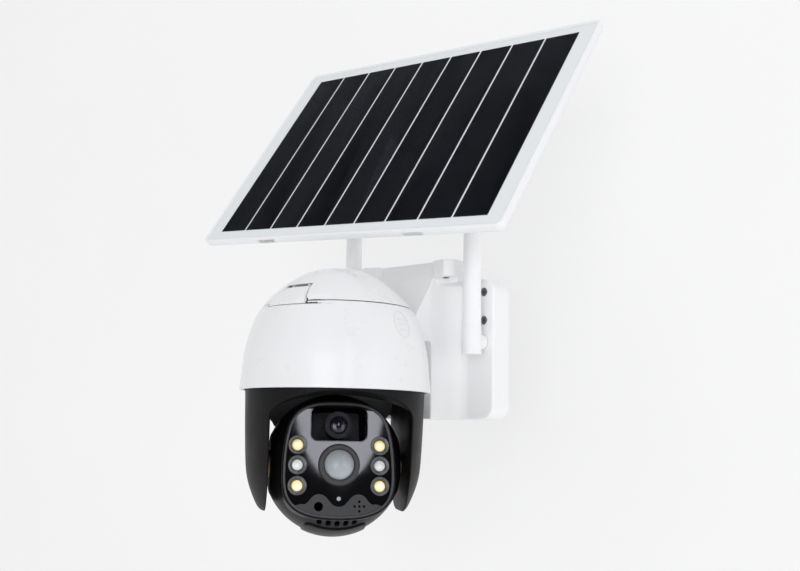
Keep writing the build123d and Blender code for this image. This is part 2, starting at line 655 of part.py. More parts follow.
with BuildPart() as pan_motor:
    with BuildSketch(Plane(origin=(0, AX_Y, -13.1))):
        with Locations((0, -30)):
            Circle(12.5)
            SlotOverall(40, 7)
    extrude(amount=1.2)
    with BuildSketch(Plane(origin=(0, AX_Y, -11.9))):
        with Locations((0, -30)):
            Circle(12.5)
    extrude(amount=13.0)
    with BuildSketch(Plane(origin=(0, AX_Y, -13.1))):
        with Locations((0, -30)):
            Circle(1.56)
    extrude(amount=9.0, mode=Mode.SUBTRACT)
save(pan_motor.part, "pan_motor")

with BuildPart() as main_board:
    with BuildSketch(Plane(origin=(0, AX_Y, 6.0))):
        Circle(41)
        with Locations((0, 47)):
            Rectangle(90, 30, mode=Mode.SUBTRACT)
        with Locations((30, -14), (-30, -14), (30, 22), (-30, 22)):
            Circle(1.3, mode=Mode.SUBTRACT)
    extrude(amount=1.6)
    with BuildSketch(Plane(origin=(0, AX_Y, 7.6))):
        with Locations((4, 4)):
            Rectangle(14, 14)
        with Locations((-18, 10), (22, 6)):
            Rectangle(9, 9)
        with Locations((-6, 24), (8, 24)):
            Rectangle(8, 5)
        with Locations((27, -4), (-28, -2)):
            Circle(3)
    extrude(amount=2.0)
    # body of the reset switch
    with BuildSketch(Plane(origin=(0, AX_Y, 7.6))):
        with Locations((14, -27)):
            Rectangle(7, 7)
    extrude(amount=4.0)
    with BuildSketch(Plane(origin=(0, AX_Y, 9.0))):
        with Locations((14, -27)):
            Circle(2.05)
    extrude(amount=4.0, mode=Mode.SUBTRACT)
save(main_board.part, "main_board")

with BuildPart() as card_slot:
    with BuildSketch(Plane(origin=(0, AX_Y, 7.6))):
        with Locations((-6, -27)):
            Rectangle(16, 16)
    extrude(amount=2.6)
    with BuildSketch(Plane.XZ.offset(-AX_Y + 36)):
        with Locations((-6, 8.9)):
            Rectangle(12.4, 1.2)
    extrude(amount=-14, mode=Mode.SUBTRACT)
save(card_slot.part, "card_slot")

with BuildPart() as reset_button:
    with BuildSketch(Plane(origin=(0, AX_Y, 9.8))):
        with Locations((14, -27)):
            Circle(1.75)
    extrude(amount=3.6)
    chamfer(reset_button.edges().group_by(Axis.Z)[-1], 0.3)
save(reset_button.part, "reset_button")

# ------------------------------------------------------------------ pan drive
PAN_TEETH, PINION_TEETH, PAN_M = 60, 15, 0.8
with BuildPart() as pan_gear:
    with BuildSketch(Plane(origin=(0, AX_Y, -25.2))):
        with BuildLine():
            Polyline(*gear_points(PAN_TEETH, PAN_M, math.radians(-90)), close=True)
        make_face()
        Circle(10.0, mode=Mode.SUBTRACT)
    extrude(amount=4.2)
save(pan_gear.part, "pan_gear")

with BuildPart() as pan_pinion:
    with BuildSketch(Plane(origin=(0, AX_Y - 30.0, -24.7))):
        with BuildLine():
            Polyline(*gear_points(PINION_TEETH, PAN_M, math.radians(90 + 180 / PINION_TEETH)), close=True)
        make_face()
    extrude(amount=4.6)
    with BuildSketch(Plane(origin=(0, AX_Y - 30.0, -20.1))):
        Circle(1.5)
    extrude(amount=15.5)
save(pan_pinion.part, "pan_pinion")

with BuildPart() as pan_shaft:
    with BuildSketch(Plane(origin=(0, AX_Y, -25.2))):
        Circle(10.0)
        Circle(6.0, mode=Mode.SUBTRACT)
    extrude(amount=17.0)
    with BuildSketch(Plane(origin=(0, AX_Y, -11.2))):
        Circle(13.6)
        Circle(6.0, mode=Mode.SUBTRACT)
    extrude(amount=3.0)
save(yoke_pose(pan_shaft.part), "pan_shaft")

# ------------------------------------------------------------------ yoke
YOKE = [(56.6, -25.2), (56.6, RIM_Z), (56.0, -49.7), (54.9, -73.2), (53.7, -84.2), (51.3, -92.7), (47.9, -100.6), (45.2, -104.6), (43.6, -105.6)]
with BuildPart() as yoke:
    with BuildSketch(SIDE):
        with BuildLine():
            Spline(*YOKE[1:])
            Polyline(YOKE[-1], (0, -105.6), (0, -25.2), YOKE[0], YOKE[1])
        make_face()
    revolve(axis=Z_AXIS)
    # arched opening between the arms: high in front, lower at the back so that a curtain stands behind the head
    for start, spring, rise in ((-AX_Y, -49.5, 14.6), (-AX_Y - 70, -70.0, 12.0)):
        with BuildSketch(Plane.XZ.offset(start)):
            with BuildLine():
                Polyline((-ARM_IN, spring), (-ARM_IN, -110), (ARM_IN, -110), (ARM_IN, spring))
                EllipticalCenterArc((0, spring), ARM_IN, rise, start_angle=0, arc_size=180)
            make_face()
        extrude(amount=70, mode=Mode.SUBTRACT)
    # flared mouths, front and back
    for d, spring, rise in ((1, -49.5, 14.6), (-1, -70.0, 12.0)):
        for depth, grow in ((30.0, 0.0), (62.0, 6.0)):
            with BuildSketch(Plane(origin=(0, AX_Y - d * depth, 0), x_dir=(1, 0, 0), z_dir=(0, -1, 0))):
                with BuildLine():
                    Polyline((-ARM_IN - grow, spring), (-ARM_IN - grow, -112), (ARM_IN + grow, -112), (ARM_IN + grow, spring))
                    EllipticalCenterArc((0, spring), ARM_IN + grow, rise + grow * 0.33, start_angle=0, arc_size=180)
                make_face()
        loft(mode=Mode.SUBTRACT)
    # cavity in which the head swings
    with BuildSketch(Plane.YZ.offset(-ARM_IN)):
        with Locations((AX_Y, TILT_Z)):
            Circle(49.0)
    extrude(amount=2 * ARM_IN, mode=Mode.SUBTRACT)
    # bores for the trunnions and the cable way
    with BuildSketch(Plane.YZ.offset(-52)):
        with Locations((AX_Y, TILT_Z)):
            Circle(6.0)
    extrude(amount=104, mode=Mode.SUBTRACT)
    with BuildSketch(Plane(origin=(0, AX_Y, -35))):
        Circle(6.0)
    extrude(amount=12, mode=Mode.SUBTRACT)
save(yoke_pose(yoke.part), "yoke")
print("yoke", yoke.part.volume, len(yoke.part.solids()))

# ------------------------------------------------------------------ trunnions and tilt drive
TILT_X = Plane(origin=(0, AX_Y, TILT_Z), x_dir=(0, 1, 0), z_dir=(1, 0, 0))   # x = Y, y = Z
with BuildPart() as trunnions:
    with BuildSketch(TILT_X.offset(24.6)):
        Circle(6.0)
        Circle(3.5, mode=Mode.SUBTRACT)
    extrude(amount=27.0)
    with BuildSketch(TILT_X.offset(-34.0)):
        Circle(6.0)
        Circle(3.5, mode=Mode.SUBTRACT)
    extrude(amount=-17.6)
save(yoke_pose(trunnions.part), "trunnions")

TILT_TEETH, TPINION_TEETH, TILT_M = 45, 15, 0.6
TILT_C = TILT_M * (TILT_TEETH + TPINION_TEETH) / 2
with BuildPart() as tilt_gear:
    with BuildSketch(TILT_X.offset(25.0)):
        with BuildLine():
            Polyline(*gear_points(TILT_TEETH, TILT_M, 0.0, 0.10), close=True)
        make_face()
        Circle(6.0, mode=Mode.SUBTRACT)
    extrude(amount=4.0)
save(head_pose(tilt_gear.part), "tilt_gear")

with BuildPart() as tilt_pinion:
    with BuildSketch(TILT_X.offset(25.2)):
        with BuildLine():
            Polyline(*[(x + TILT_C, y) for x, y in gear_points(TPINION_TEETH, TILT_M, math.radians(180 + 180 / TPINION_TEETH), 0.10)], close=True)
        make_face()
    extrude(amount=3.8)
    with BuildSketch(TILT_X.offset(25.2)):
        with Locations((TILT_C, 0)):
            Circle(1.2)
    extrude(amount=-9.0)
save(head_pose(tilt_pinion.part), "tilt_pinion")

with BuildPart() as tilt_motor:
    with BuildSketch(TILT_X.offset(24.4)):
        with Locations((TILT_C, 0)):
            Circle(9.8)
            SlotOverall(30, 6, rotation=90)
    extrude(amount=-1.0)
    with BuildSketch(TILT_X.offset(23.4)):
        with Locations((TILT_C, 0)):
            Circle(9.8)
    extrude(amount=-14.0)
    with BuildSketch(TILT_X.offset(24.4)):
        with Locations((TILT_C, 0)):
            Circle(1.26)
    extrude(amount=-9.0, mode=Mode.SUBTRACT)
save(head_pose(tilt_motor.part), "tilt_motor")

with BuildPart() as tilt_bushes:
    with BuildSketch(TILT_X.offset(36.2)):
        Circle(8.5)
        Circle(6.06, mode=Mode.SUBTRACT)
    extrude(amount=5.4)
    with BuildSketch(TILT_X.offset(-36.2)):
        Circle(8.5)
        Circle(6.06, mode=Mode.SUBTRACT)
    extrude(amount=-5.4)
save(head_pose(tilt_bushes.part), "tilt_bushes")

# ------------------------------------------------------------------ camera head
FACE = Plane(origin=(0, AX_Y - FACE_D, TILT_Z), x_dir=(1, 0, 0), z_dir=(0, -1, 0))
HOR = Plane(origin=(0, AX_Y, TILT_Z), x_dir=(1, 0, 0), z_dir=(0, 0, 1))
OUT = [(0, 34.0), (11.5, 33.5), (18.5, 31.8), (24.4, 28.4), (28.6, 23.0), (31.4, 14.5), (33.0, 4), (33.6, -7), (33.2, -16.5), (30.8, -24.2), (26.0, -29.6), (19.0, -33.0), (10, -34.8), (0, -35.2)]
OUTLINE = OUT + [(-x, z) for x, z in reversed(OUT[1:-1])]


def outline(shrink=0.0):
    """Face outline in the local x, z of the face, drawn inwards by shrink."""
    pts = []
    n = len(OUTLINE)
    for i, (x, z) in enumerate(OUTLINE):
        a, b = OUTLINE[i - 1], OUTLINE[(i + 1) % n]
        dx, dz = b[0] - a[0], b[1] - a[1]
        k = math.hypot(dx, dz)
        pts.append((x + shrink * dz / k, z - shrink * dx / k))
    return pts


LED_X, LED_Z = 24.9, (8.2, -3.8, -16.0)
LED_AT = [(s * LED_X, z) for s in (-1, 1) for z in LED_Z]
PIR_Z, WIN_Z = -3.6, 21.0

with BuildPart() as head_hull:
    with BuildSketch(HOR):
        with BuildLine():
            ThreePointArc((-38.7, 19.42), (0, HEAD_R), (38.7, 19.42))
            ThreePointArc((38.7, 19.42), (39.7, 17.6), (HEAD_HALF, 15.6))
            Polyline((HEAD_HALF, 15.6), (HEAD_HALF, 0), (-HEAD_HALF, 0), (-HEAD_HALF, 15.6))
            ThreePointArc((-HEAD_HALF, 15.6), (-39.7, 17.6), (-38.7, 19.42))
        make_face()
    revolve(axis=X_TILT)
    with BuildSketch(FACE.offset(-20)):
        with BuildLine():
            Spline(*outline(-1.0), periodic=True)
        make_face()
    extrude(amount=20)
    with BuildSketch(FACE):
        Rectangle(120, 120)
    extrude(amount=30, mode=Mode.SUBTRACT)
    # hollow
    with BuildSketch(HOR):
        with BuildLine():
            ThreePointArc((-37.4, 16.0), (0, HEAD_R - 2.5), (37.4, 16.0))
            Polyline((37.4, 16.0), (37.4, 0), (-37.4, 0), (-37.4, 16.0))
        make_face()
    revolve(axis=X_TILT, mode=Mode.SUBTRACT)
    with BuildSketch(FACE.offset(-20)):
        with BuildLine():
            Spline(*outline(0.2), periodic=True)
        make_face()
    extrude(amount=30, mode=Mode.SUBTRACT)
    # bush seats
    with BuildSketch(TILT_X.offset(-60)):
        Circle(8.5)
    extrude(amount=120, mode=Mode.SUBTRACT)
    # speaker slots under the face
    with BuildSketch(Plane(origin=(0, AX_Y - 21.2, TILT_Z - 38.2), x_dir=(1, 0, 0), z_dir=(0, -0.485, -0.875))) as sl:
        with Locations(*[(x, 0) for x in (-10.6, -5.3, 0, 5.3, 10.6)]):
            SlotOverall(5.6, 2.8, rotation=90)
    extrude(amount=6, both=True, mode=Mode.SUBTRACT)
print("hull", head_hull.part.volume, len(head_hull.part.solids()))

with BuildPart() as head_front:
    add(head_hull.part)
    split(bisect_by=Plane(origin=(0, AX_Y, TILT_Z), x_dir=(1, 0, 0), z_dir=(0, -1, 0)), keep=Keep.TOP)
save(head_pose(head_front.part), "head_front")

with BuildPart() as head_rear:
    add(head_hull.part)
    split(bisect_by=Plane(origin=(0, AX_Y, TILT_Z), x_dir=(1, 0, 0), z_dir=(0, 1, 0)), keep=Keep.TOP)
    with BuildSketch(Plane(origin=(0, AX_Y, TILT_Z), x_dir=(-1, 0, 0), z_dir=(0, 1, 0))):
        with Locations((24, 22), (-24, 22), (24, -22), (-24, -22)):
            Circle(4.4)
    extrude(amount=25)
    with BuildSketch(Plane(origin=(0, AX_Y + 21, TILT_Z), x_dir=(-1, 0, 0), z_dir=(0, 1, 0))):
        with Locations((24, 22), (-24, 22), (24, -22), (-24, -22)):
            Circle(2.9)
    extrude(amount=20, mode=Mode.SUBTRACT)
    with BuildSketch(Plane(origin=(0, AX_Y - 1, TILT_Z), x_dir=(-1, 0, 0), z_dir=(0, 1, 0))):
        with Locations((24, 22), (-24, 22), (24, -22), (-24, -22)):
            Circle(1.4)
    extrude(amount=30, mode=Mode.SUBTRACT)
save(head_pose(head_rear.part), "head_rear")
print("front/rear", head_front.part.volume, head_rear.part.volume, len(head_front.part.solids()), len(head_rear.part.solids()))

with BuildPart() as head_screws:
    with BuildSketch(Plane(origin=(0, AX_Y + 21, TILT_Z), x_dir=(-1, 0, 0), z_dir=(0, 1, 0))):
        with Locations((24, 22), (-24, 22), (24, -22), (-24, -22)):
            Circle(2.6)
            RegularPolygon(1.2, 6, mode=Mode.SUBTRACT)
    extrude(amount=1.8)
    with BuildSketch(Plane(origin=(0, AX_Y + 21, TILT_Z), x_dir=(-1, 0, 0), z_dir=(0, 1, 0))):
        with Locations((24, 22), (-24, 22), (24, -22), (-24, -22)):
            Circle(1.4)
    extrude(amount=-20)
save(head_pose(head_screws.part), "head_screws")

with BuildPart() as face_bezel:
    with BuildSketch(FACE.offset(-3.5)):
        with BuildLine():
            Spline(*outline(0.2), periodic=True)
        make_face()
        with BuildLine():
            Spline(*outline(1.4), periodic=True)
        make_face(mode=Mode.SUBTRACT)
    extrude(amount=4.3)
save(head_pose(face_bezel.part), "face_bezel")

with BuildPart() as face_glass:
    with BuildSketch(FACE.offset(-2.2)):
        with BuildLine():
            Spline(*outline(1.42), periodic=True)
        make_face()
        with Locations(*LED_AT):
            Circle(5.75, mode=Mode.SUBTRACT)
        with Locations((0, PIR_Z)):
            Circle(12.0, mode=Mode.SUBTRACT)
        with Locations((-12.0, -28.2)):
            Circle(2.7, mode=Mode.SUBTRACT)
        with Locations((0, WIN_Z)):
            RectangleRounded(34.2, 20.4, 4.4, mode=Mode.SUBTRACT)
    extrude(amount=2.2)
save(head_pose(face_glass.part), "face_glass")

with BuildPart() as lens_window:
    with BuildSketch(FACE.offset(-1.6)):
        with Locations((0, WIN_Z)):
            RectangleRounded(34.1, 20.3, 4.35)
    extrude(amount=1.6)
    with BuildSketch(FACE):
        with Locations((0, WIN_Z)):
            RectangleRounded(35.2, 21.4, 4.8)
    extrude(amount=0.35)
save(head_pose(lens_window.part), "lens_window")

with BuildPart() as lens_barrel:
    with BuildSketch(FACE.offset(-21)):
        with Locations((0, WIN_Z)):
            Circle(7.0)
    extrude(amount=12)
    with BuildSketch(FACE.offset(-9)):
        with Locations((0, WIN_Z)):
            Circle(8.2)
    extrude(amount=5.5)
    with BuildSketch(FACE.offset(-5.5)):
        with Locations((0, WIN_Z)):
            Circle(5.6)
    extrude(amount=2.0, mode=Mode.SUBTRACT)
save(head_pose(lens_barrel.part), "lens_barrel")

with BuildPart() as camera_lens:
    with BuildSketch(FACE.offset(-5.5)):
        with Locations((0, WIN_Z)):
            Circle(5.6)
    extrude(amount=2.6)
    fillet(camera_lens.edges().sort_by(Axis.Y)[0], 1.2)
save(head_pose(camera_lens.part), "camera_lens")

with BuildPart() as sensor_board:
    with BuildSketch(FACE.offset(-22.6)):
        with Locations((0, WIN_Z - 3)):
            RectangleRounded(30, 26, 2)
    extrude(amount=1.6)
save(head_pose(sensor_board.part), "sensor_board")

with BuildPart() as pir_ring:
    with BuildSketch(FACE.offset(-3.0)):
        with Locations((0, PIR_Z)):
            Circle(12.0)
            Circle(9.0, mode=Mode.SUBTRACT)
    extrude(amount=3.0)
    with BuildSketch(FACE):
        with Locations((0, PIR_Z)):
            Circle(12.6)
            Circle(9.0, mode=Mode.SUBTRACT)
    extrude(amount=3.4)
    chamfer(pir_ring.edges().group_by(Axis.Y)[0], 0.8)
save(head_pose(pir_ring.part), "pir_ring")

PIR_C = (6.4 ** 2 - 8.95 ** 2 - 2.0 ** 2) / (2 * (6.4 - 2.0))      # centre of the lens dome
PIR_R = 6.4 - PIR_C


def cap(r, x, part=1.0):
    """Point on the dome of radius r, at the given part of the way out to x."""
    a = math.asin(x / r) * part
    return (r * math.sin(a), PIR_C + r * math.cos(a))


with BuildPart() as pir_lens:
    with BuildSketch(Plane(origin=(0, AX_Y - FACE_D, TILT_Z + PIR_Z), x_dir=(0, 0, 1), z_dir=(1, 0, 0))):
        with BuildLine():
            Line((8.95, -2.5), cap(PIR_R, 8.95))
            ThreePointArc(cap(PIR_R, 8.95), cap(PIR_R, 8.95, 0.5), (0, PIR_C + PIR_R))
            Line((0, PIR_C + PIR_R), (0, PIR_C + PIR_R - 1.2))
            ThreePointArc((0, PIR_C + PIR_R - 1.2), cap(PIR_R - 1.2, 7.9, 0.5), cap(PIR_R - 1.2, 7.9))
            Polyline(cap(PIR_R - 1.2, 7.9), (7.9, -2.5), (8.95, -2.5))
        make_face()
    revolve(axis=Axis((0, AX_Y, TILT_Z + PIR_Z), (0, 1, 0)))
save(head_pose(pir_lens.part), "pir_lens")
print("pir_lens", pir_lens.part.volume, pir_lens.part.bounding_box())

with BuildPart() as led_board:
    with BuildSketch(FACE.offset(-9.0)):
        with Locations((-25.0, -3.6), (25.0, -3.6)):
            RectangleRounded(10.6, 38, 2)
        with Locations((0, -3.6)):
            Rectangle(42, 9)
    extrude(amount=1.2)
save(head_pose(led_board.part), "led_board")

with BuildPart() as led_chips:
    with BuildSketch(FACE.offset(-7.8)):
        with Locations(*[p for p in LED_AT if p[1] != LED_Z[1]]):
            Circle(2.6)
    extrude(amount=5.2)
save(head_pose(led_chips.part), "white_leds")

with BuildPart() as ir_chips:
    with BuildSketch(FACE.offset(-7.8)):
        with Locations(*[p for p in LED_AT if p[1] == LED_Z[1]]):
            Circle(2.6)
    extrude(amount=5.2)
save(head_pose(ir_chips.part), "infrared_leds")

with BuildPart() as led_lenses:
    with BuildSketch(FACE.offset(-2.1)):
        with Locations(*LED_AT):
            Circle(5.7)
    extrude(amount=2.5)
save(head_pose(led_lenses.part), "led_lenses")

WAVE = [(-22.4, -26.6), (-19.4, -26.4), (-17.0, -23.9), (-14.6, -21.6), (-11.6, -20.9), (-8.4, -22.0), (-5.6, -25.0), (-2.6, -27.6), (0, -28.2)]
with BuildPart() as lower_trim:
    with BuildSketch(FACE):
        with BuildLine():
            Spline(*(WAVE + [(-x, z) for x, z in reversed(WAVE[:-1])]))
            Polyline((22.4, -26.6), (34, -30), (34, -40), (-34, -40), (-34, -30), (-22.4, -26.6))
        make_face()
        with BuildLine():
            Spline(*outline(1.5), periodic=True)
        make_face(mode=Mode.INTERSECT)
        with Locations((-12.0, -28.2)):
            Circle(2.7, mode=Mode.SUBTRACT)
        with Locations((12.4, -28.0), (9.6, -28.0), (15.2, -28.0), (12.4, -25.2), (12.4, -30.8)):
            Circle(0.75, mode=Mode.SUBTRACT)
    extrude(amount=0.7)
save(head_pose(lower_trim.part), "lower_trim")
print("trim", lower_trim.part.volume, len(lower_trim.part.solids()))

with BuildPart() as light_sensor:
    with BuildSketch(FACE):
        with Locations((0, -23.6)):
            Circle(1.3)
    extrude(amount=0.8)
    fillet(light_sensor.edges().sort_by(Axis.Y)[0], 0.4)
save(head_pose(light_sensor.part), "light_sensor")

with BuildPart() as speaker:
    with BuildSketch(Plane(origin=(0, AX_Y - 13.0, TILT_Z - 25.5), x_dir=(1, 0, 0), z_dir=(0, -0.485, -0.875))):
        Circle(9)
    extrude(amount=5.0)
save(head_pose(speaker.part), "speaker")

with BuildPart() as bottom_cover:
    with BuildSketch(HOR):
        with BuildLine():
            outer = CenterArc((0, 0), HEAD_R + 1.0, 40, 100)
            inner = CenterArc((0, 0), HEAD_R + 0.06, 40, 100)
            Line(outer @ 0, inner @ 0)
            Line(outer @ 1, inner @ 1)
        make_face()
    revolve(axis=X_TILT)
    with BuildSketch(Plane(origin=(0, AX_Y, TILT_Z - 60), x_dir=(1, 0, 0), z_dir=(0, 0, 1))):
        with Locations((0, 1)):
            RectangleRounded(38, 34, 5)
    extrude(amount=42, mode=Mode.INTERSECT)
save(head_pose(bottom_cover.part), "bottom_cover")
print("bottom", bottom_cover.part.volume, len(bottom_cover.part.solids()))

# ------------------------------------------------------------------ antennas
for side, sx in (("left", -1), ("right", 1)):
    with BuildPart() as antenna:
        with BuildSketch(Plane(origin=(sx * ANT_X, ANT_Y, ANT_BOTTOM), z_dir=(0, 0, 1))):
            Circle(ANT_R + 0.35)
        with BuildSketch(Plane(origin=(sx * ANT_X, ANT_Y, ANT_BOTTOM + 17.5), z_dir=(0, 0, 1))):
            Circle(ANT_R + 0.1)
        loft()
        with BuildSketch(Plane(origin=(sx * ANT_X, ANT_Y, ANT_BOTTOM + 17.5), z_dir=(0, 0, 1))):
            Circle(ANT_R - 0.1)
        with BuildSketch(Plane(origin=(sx * ANT_X, ANT_Y, ANT_TOP), z_dir=(0, 0, 1))):
            Circle(ANT_R - 0.9)
        loft()
        fillet(antenna.edges().group_by(Axis.Z)[-1], 3.0)
        # pivot stub into the box
        with BuildSketch(Plane.XZ.offset(-ANT_Y - 4.0)):
            with Locations((sx * ANT_X, ANT_PIVOT_Z)):
                Circle(5.2)
        extrude(amount=-(-ANT_Y - 4.0 - BOX_D - 1.6))
        with BuildSketch(Plane.XZ.offset(BOX_D + 2.0)):
            with Locations((sx * ANT_X, ANT_PIVOT_Z)):
                Circle(2.5)
        extrude(amount=-9.0)
    save(antenna.part, "antenna_" + side)
    print("antenna", antenna.part.volume, len(antenna.part.solids()))

with BuildPart() as antenna_bushes:
    with BuildSketch(Plane.XZ.offset(BOX_D - 2.2)):
        with Locations((ANT_X, ANT_PIVOT_Z), (-ANT_X, ANT_PIVOT_Z)):
            Circle(4.0)
            Circle(2.56, mode=Mode.SUBTRACT)
    extrude(amount=2.2)
    with BuildSketch(Plane.XZ.offset(BOX_D)):
        with Locations((ANT_X, ANT_PIVOT_Z), (-ANT_X, ANT_PIVOT_Z)):
            Circle(5.8)
            Circle(2.56, mode=Mode.SUBTRACT)
    extrude(amount=1.2)
save(antenna_bushes.part, "antenna_bushes")

# ------------------------------------------------------------------ oval side badges, with three plain bars
with BuildPart() as side_badges:
    with BuildSketch(SIDE):
        with BuildLine():
            Spline(*[(r + 0.35, z) for r, z in DOME])
            Line((DOME[-1][0] + 0.35, DOME[-1][1]), (DOME[-1][0] + 0.03, DOME[-1][1]))
            Spline(*reversed([(r + 0.03, z) for r, z in DOME]))
            Line((DOME[0][0] + 0.03, DOME[0][1]), (DOME[0][0] + 0.35, DOME[0][1]))
        make_face()
    revolve(axis=Z_AXIS)
    with BuildSketch(Plane(origin=(-80, AX_Y, 8.0), x_dir=(0, 1, 0), z_dir=(1, 0, 0))):
        Ellipse(6.6, 8.6)
        Ellipse(5.9, 7.9, mode=Mode.SUBTRACT)
        with Locations((0, 3.2), (0, 0), (0, -3.2)):
            SlotOverall(5.6, 1.0)
    extrude(amount=160, mode=Mode.INTERSECT)
save(side_badges.part, "side_badges")
print("badges", side_badges.part.volume, len(side_badges.part.solids()))
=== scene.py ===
import json
import math

import bmesh
import bpy
from mathutils import Matrix, Vector


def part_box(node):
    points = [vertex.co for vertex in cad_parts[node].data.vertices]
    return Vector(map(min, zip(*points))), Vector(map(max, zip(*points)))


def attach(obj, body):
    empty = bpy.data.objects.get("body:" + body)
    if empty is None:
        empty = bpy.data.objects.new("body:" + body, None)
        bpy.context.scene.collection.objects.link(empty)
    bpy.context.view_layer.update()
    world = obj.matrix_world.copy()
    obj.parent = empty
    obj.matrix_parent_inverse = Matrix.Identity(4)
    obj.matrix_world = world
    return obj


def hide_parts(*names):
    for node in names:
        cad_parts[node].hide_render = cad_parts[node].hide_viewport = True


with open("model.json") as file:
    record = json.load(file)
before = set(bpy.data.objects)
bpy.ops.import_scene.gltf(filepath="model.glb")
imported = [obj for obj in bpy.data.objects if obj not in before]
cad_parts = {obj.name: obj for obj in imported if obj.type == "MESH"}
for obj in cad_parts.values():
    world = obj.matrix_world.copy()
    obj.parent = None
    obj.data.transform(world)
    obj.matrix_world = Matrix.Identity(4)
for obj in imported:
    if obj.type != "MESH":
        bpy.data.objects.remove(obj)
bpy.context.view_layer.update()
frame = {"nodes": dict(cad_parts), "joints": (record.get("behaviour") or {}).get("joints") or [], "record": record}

NODES = frame["nodes"]
MM = 0.001

# ---------------------------------------------------------------- frames of the turned parts
AX_Y, TILT_Z, FACE_D = -105.0, -77.2, 28.0
PAN, TILT = math.radians(50.0), math.radians(8.0)
YOKE_M = Matrix.Translation((0, AX_Y * MM, TILT_Z * MM)) @ Matrix.Rotation(PAN, 4, "Z")
HEAD_M = YOKE_M @ Matrix.Rotation(-TILT, 4, "X")
PANEL_C = next(j["pos_m"] for j in frame["joints"] if j["name"] == "panel_turn")
PANEL_M = (Matrix.Translation(PANEL_C) @ Matrix.Rotation(math.radians(1.4), 4, "Z")
           @ Matrix.Rotation(math.radians(57.8), 4, "X") @ Matrix.Rotation(math.radians(-5.2), 4, "Z"))
# face frame: local x across, local y up, local z out of the face
FACE_M = HEAD_M @ Matrix.Translation((0, -FACE_D * MM, 0)) @ Matrix.Rotation(math.radians(90), 4, "X")


# ---------------------------------------------------------------- materials
class Mat:
    """Small helper that builds a procedural material from noise, bump and edge wear."""

    def __init__(self, name):
        self.m = bpy.data.materials.new(name)
        self.m.use_nodes = True
        self.t = self.m.node_tree
        self.b = self.t.nodes["Principled BSDF"]
        self.out = self.t.nodes["Material Output"]

    def node(self, kind, **props):
        n = self.t.nodes.new(kind)
        for k, v in props.items():
            setattr(n, k, v)
        return n

    def link(self, a, b):
        self.t.links.new(a, b)

    def coords(self, matrix=None):
        c = self.node("ShaderNodeTexCoord")
        if matrix is None:
            return c.outputs["Object"]
        inv = matrix.inverted()
        mp = self.node("ShaderNodeMapping")
        mp.inputs["Location"].default_value = inv.to_translation()
        mp.inputs["Rotation"].default_value = inv.to_euler()
        self.link(c.outputs["Object"], mp.inputs["Vector"])
        return mp.outputs["Vector"]

    def noise(self, vec, scale, detail=3.0, rough=0.5):
        n = self.node("ShaderNodeTexNoise")
        n.inputs["Scale"].default_value = scale
        n.inputs["Detail"].default_value = detail
        n.inputs["Roughness"].default_value = rough
        self.link(vec, n.inputs["Vector"])
        return n.outputs["Fac"]

    def ramp(self, fac, stops):
        r = self.node("ShaderNodeValToRGB")
        e = r.color_ramp.elements
        while len(e) < len(stops):
            e.new(0.5)
        for el, (p, c) in zip(e, stops):
            el.position = p
            el.color = (*c, 1) if len(c) == 3 else c
        self.link(fac, r.inputs["Fac"])
        return r.outputs["Color"]

    def span(self, fac, lo, hi, a=0.3, b=0.7):
        r = self.node("ShaderNodeMapRange")
        r.inputs["From Min"].default_value = a
        r.inputs["From Max"].default_value = b
        r.inputs["To Min"].default_value = lo
        r.inputs["To Max"].default_value = hi
        self.link(fac, r.inputs["Value"])
        return r.outputs["Result"]

    def bump(self, fac, strength, dist, before=None):
        n = self.node("ShaderNodeBump")
        n.inputs["Strength"].default_value = strength
        n.inputs["Distance"].default_value = dist
        self.link(fac, n.inputs["Height"])
        if before is not None:
            self.link(before, n.inputs["Normal"])
        return n.outputs["Normal"]


def shade(c, k):
    return tuple(min(max(v * k, 0.0), 1.0) for v in c)


def plastic(name, color, rough=0.38, vary=0.05, grain=900.0, grain_depth=0.00003, coat=0.0, spec=0.5, warm=(1, 1, 1), sss=0.0):
    """Moulded plastic: slight tone drift, fine spark-eroded grain, roughness that is not quite even."""
    m = Mat(name)
    v = m.coords()
    tone = m.noise(v, 14.0, 4.0)
    m.link(m.ramp(tone, [(0.30, shade(color, 1 - vary)), (0.55, color), (0.78, tuple(min(a * (1 + vary * 0.6) * w, 1.0) for a, w in zip(color, warm)))]), m.b.inputs["Base Color"])
    m.link(m.span(m.noise(v, 55.0, 5.0, 0.6), rough - 0.05, rough + 0.06), m.b.inputs["Roughness"])
    fine = m.bump(m.noise(v, grain, 2.0), 0.35, grain_depth)
    wave = m.bump(m.noise(v, 30.0, 1.0), 0.12, 0.0002, fine)
    m.link(wave, m.b.inputs["Normal"])
    m.b.inputs["Specular IOR Level"].default_value = spec
    if coat:
        m.b.inputs["Coat Weight"].default_value = coat
        m.b.inputs["Coat Roughness"].default_value = 0.12
    if sss:
        m.b.inputs["Subsurface Weight"].default_value = sss
        m.b.inputs["Subsurface Radius"].default_value = (0.004, 0.004, 0.0045)
        m.b.inputs["Subsurface Scale"].default_value = 1.0
    return m.m


def metal(name, color, rough=0.32, brushed=None):
    """Turned or plated metal with fine tool marks."""
    m = Mat(name)
    v = m.coords()
    m.b.inputs["Metallic"].default_value = 1.0
    m.link(m.ramp(m.noise(v, 60.0, 5.0), [(0.3, shade(color, 0.86)), (0.7, color)]), m.b.inputs["Base Color"])
    m.link(m.span(m.noise(v, 160.0, 4.0, 0.7), rough - 0.08, rough + 0.12), m.b.inputs["Roughness"])
    mp = m.node("ShaderNodeMapping")
    mp.inputs["Scale"].default_value = brushed or (1, 1, 14)
    m.link(v, mp.inputs["Vector"])
    m.link(m.bump(m.noise(mp.outputs["Vector"], 420.0, 2.0), 0.25, 0.00004), m.b.inputs["Normal"])
    return m.m


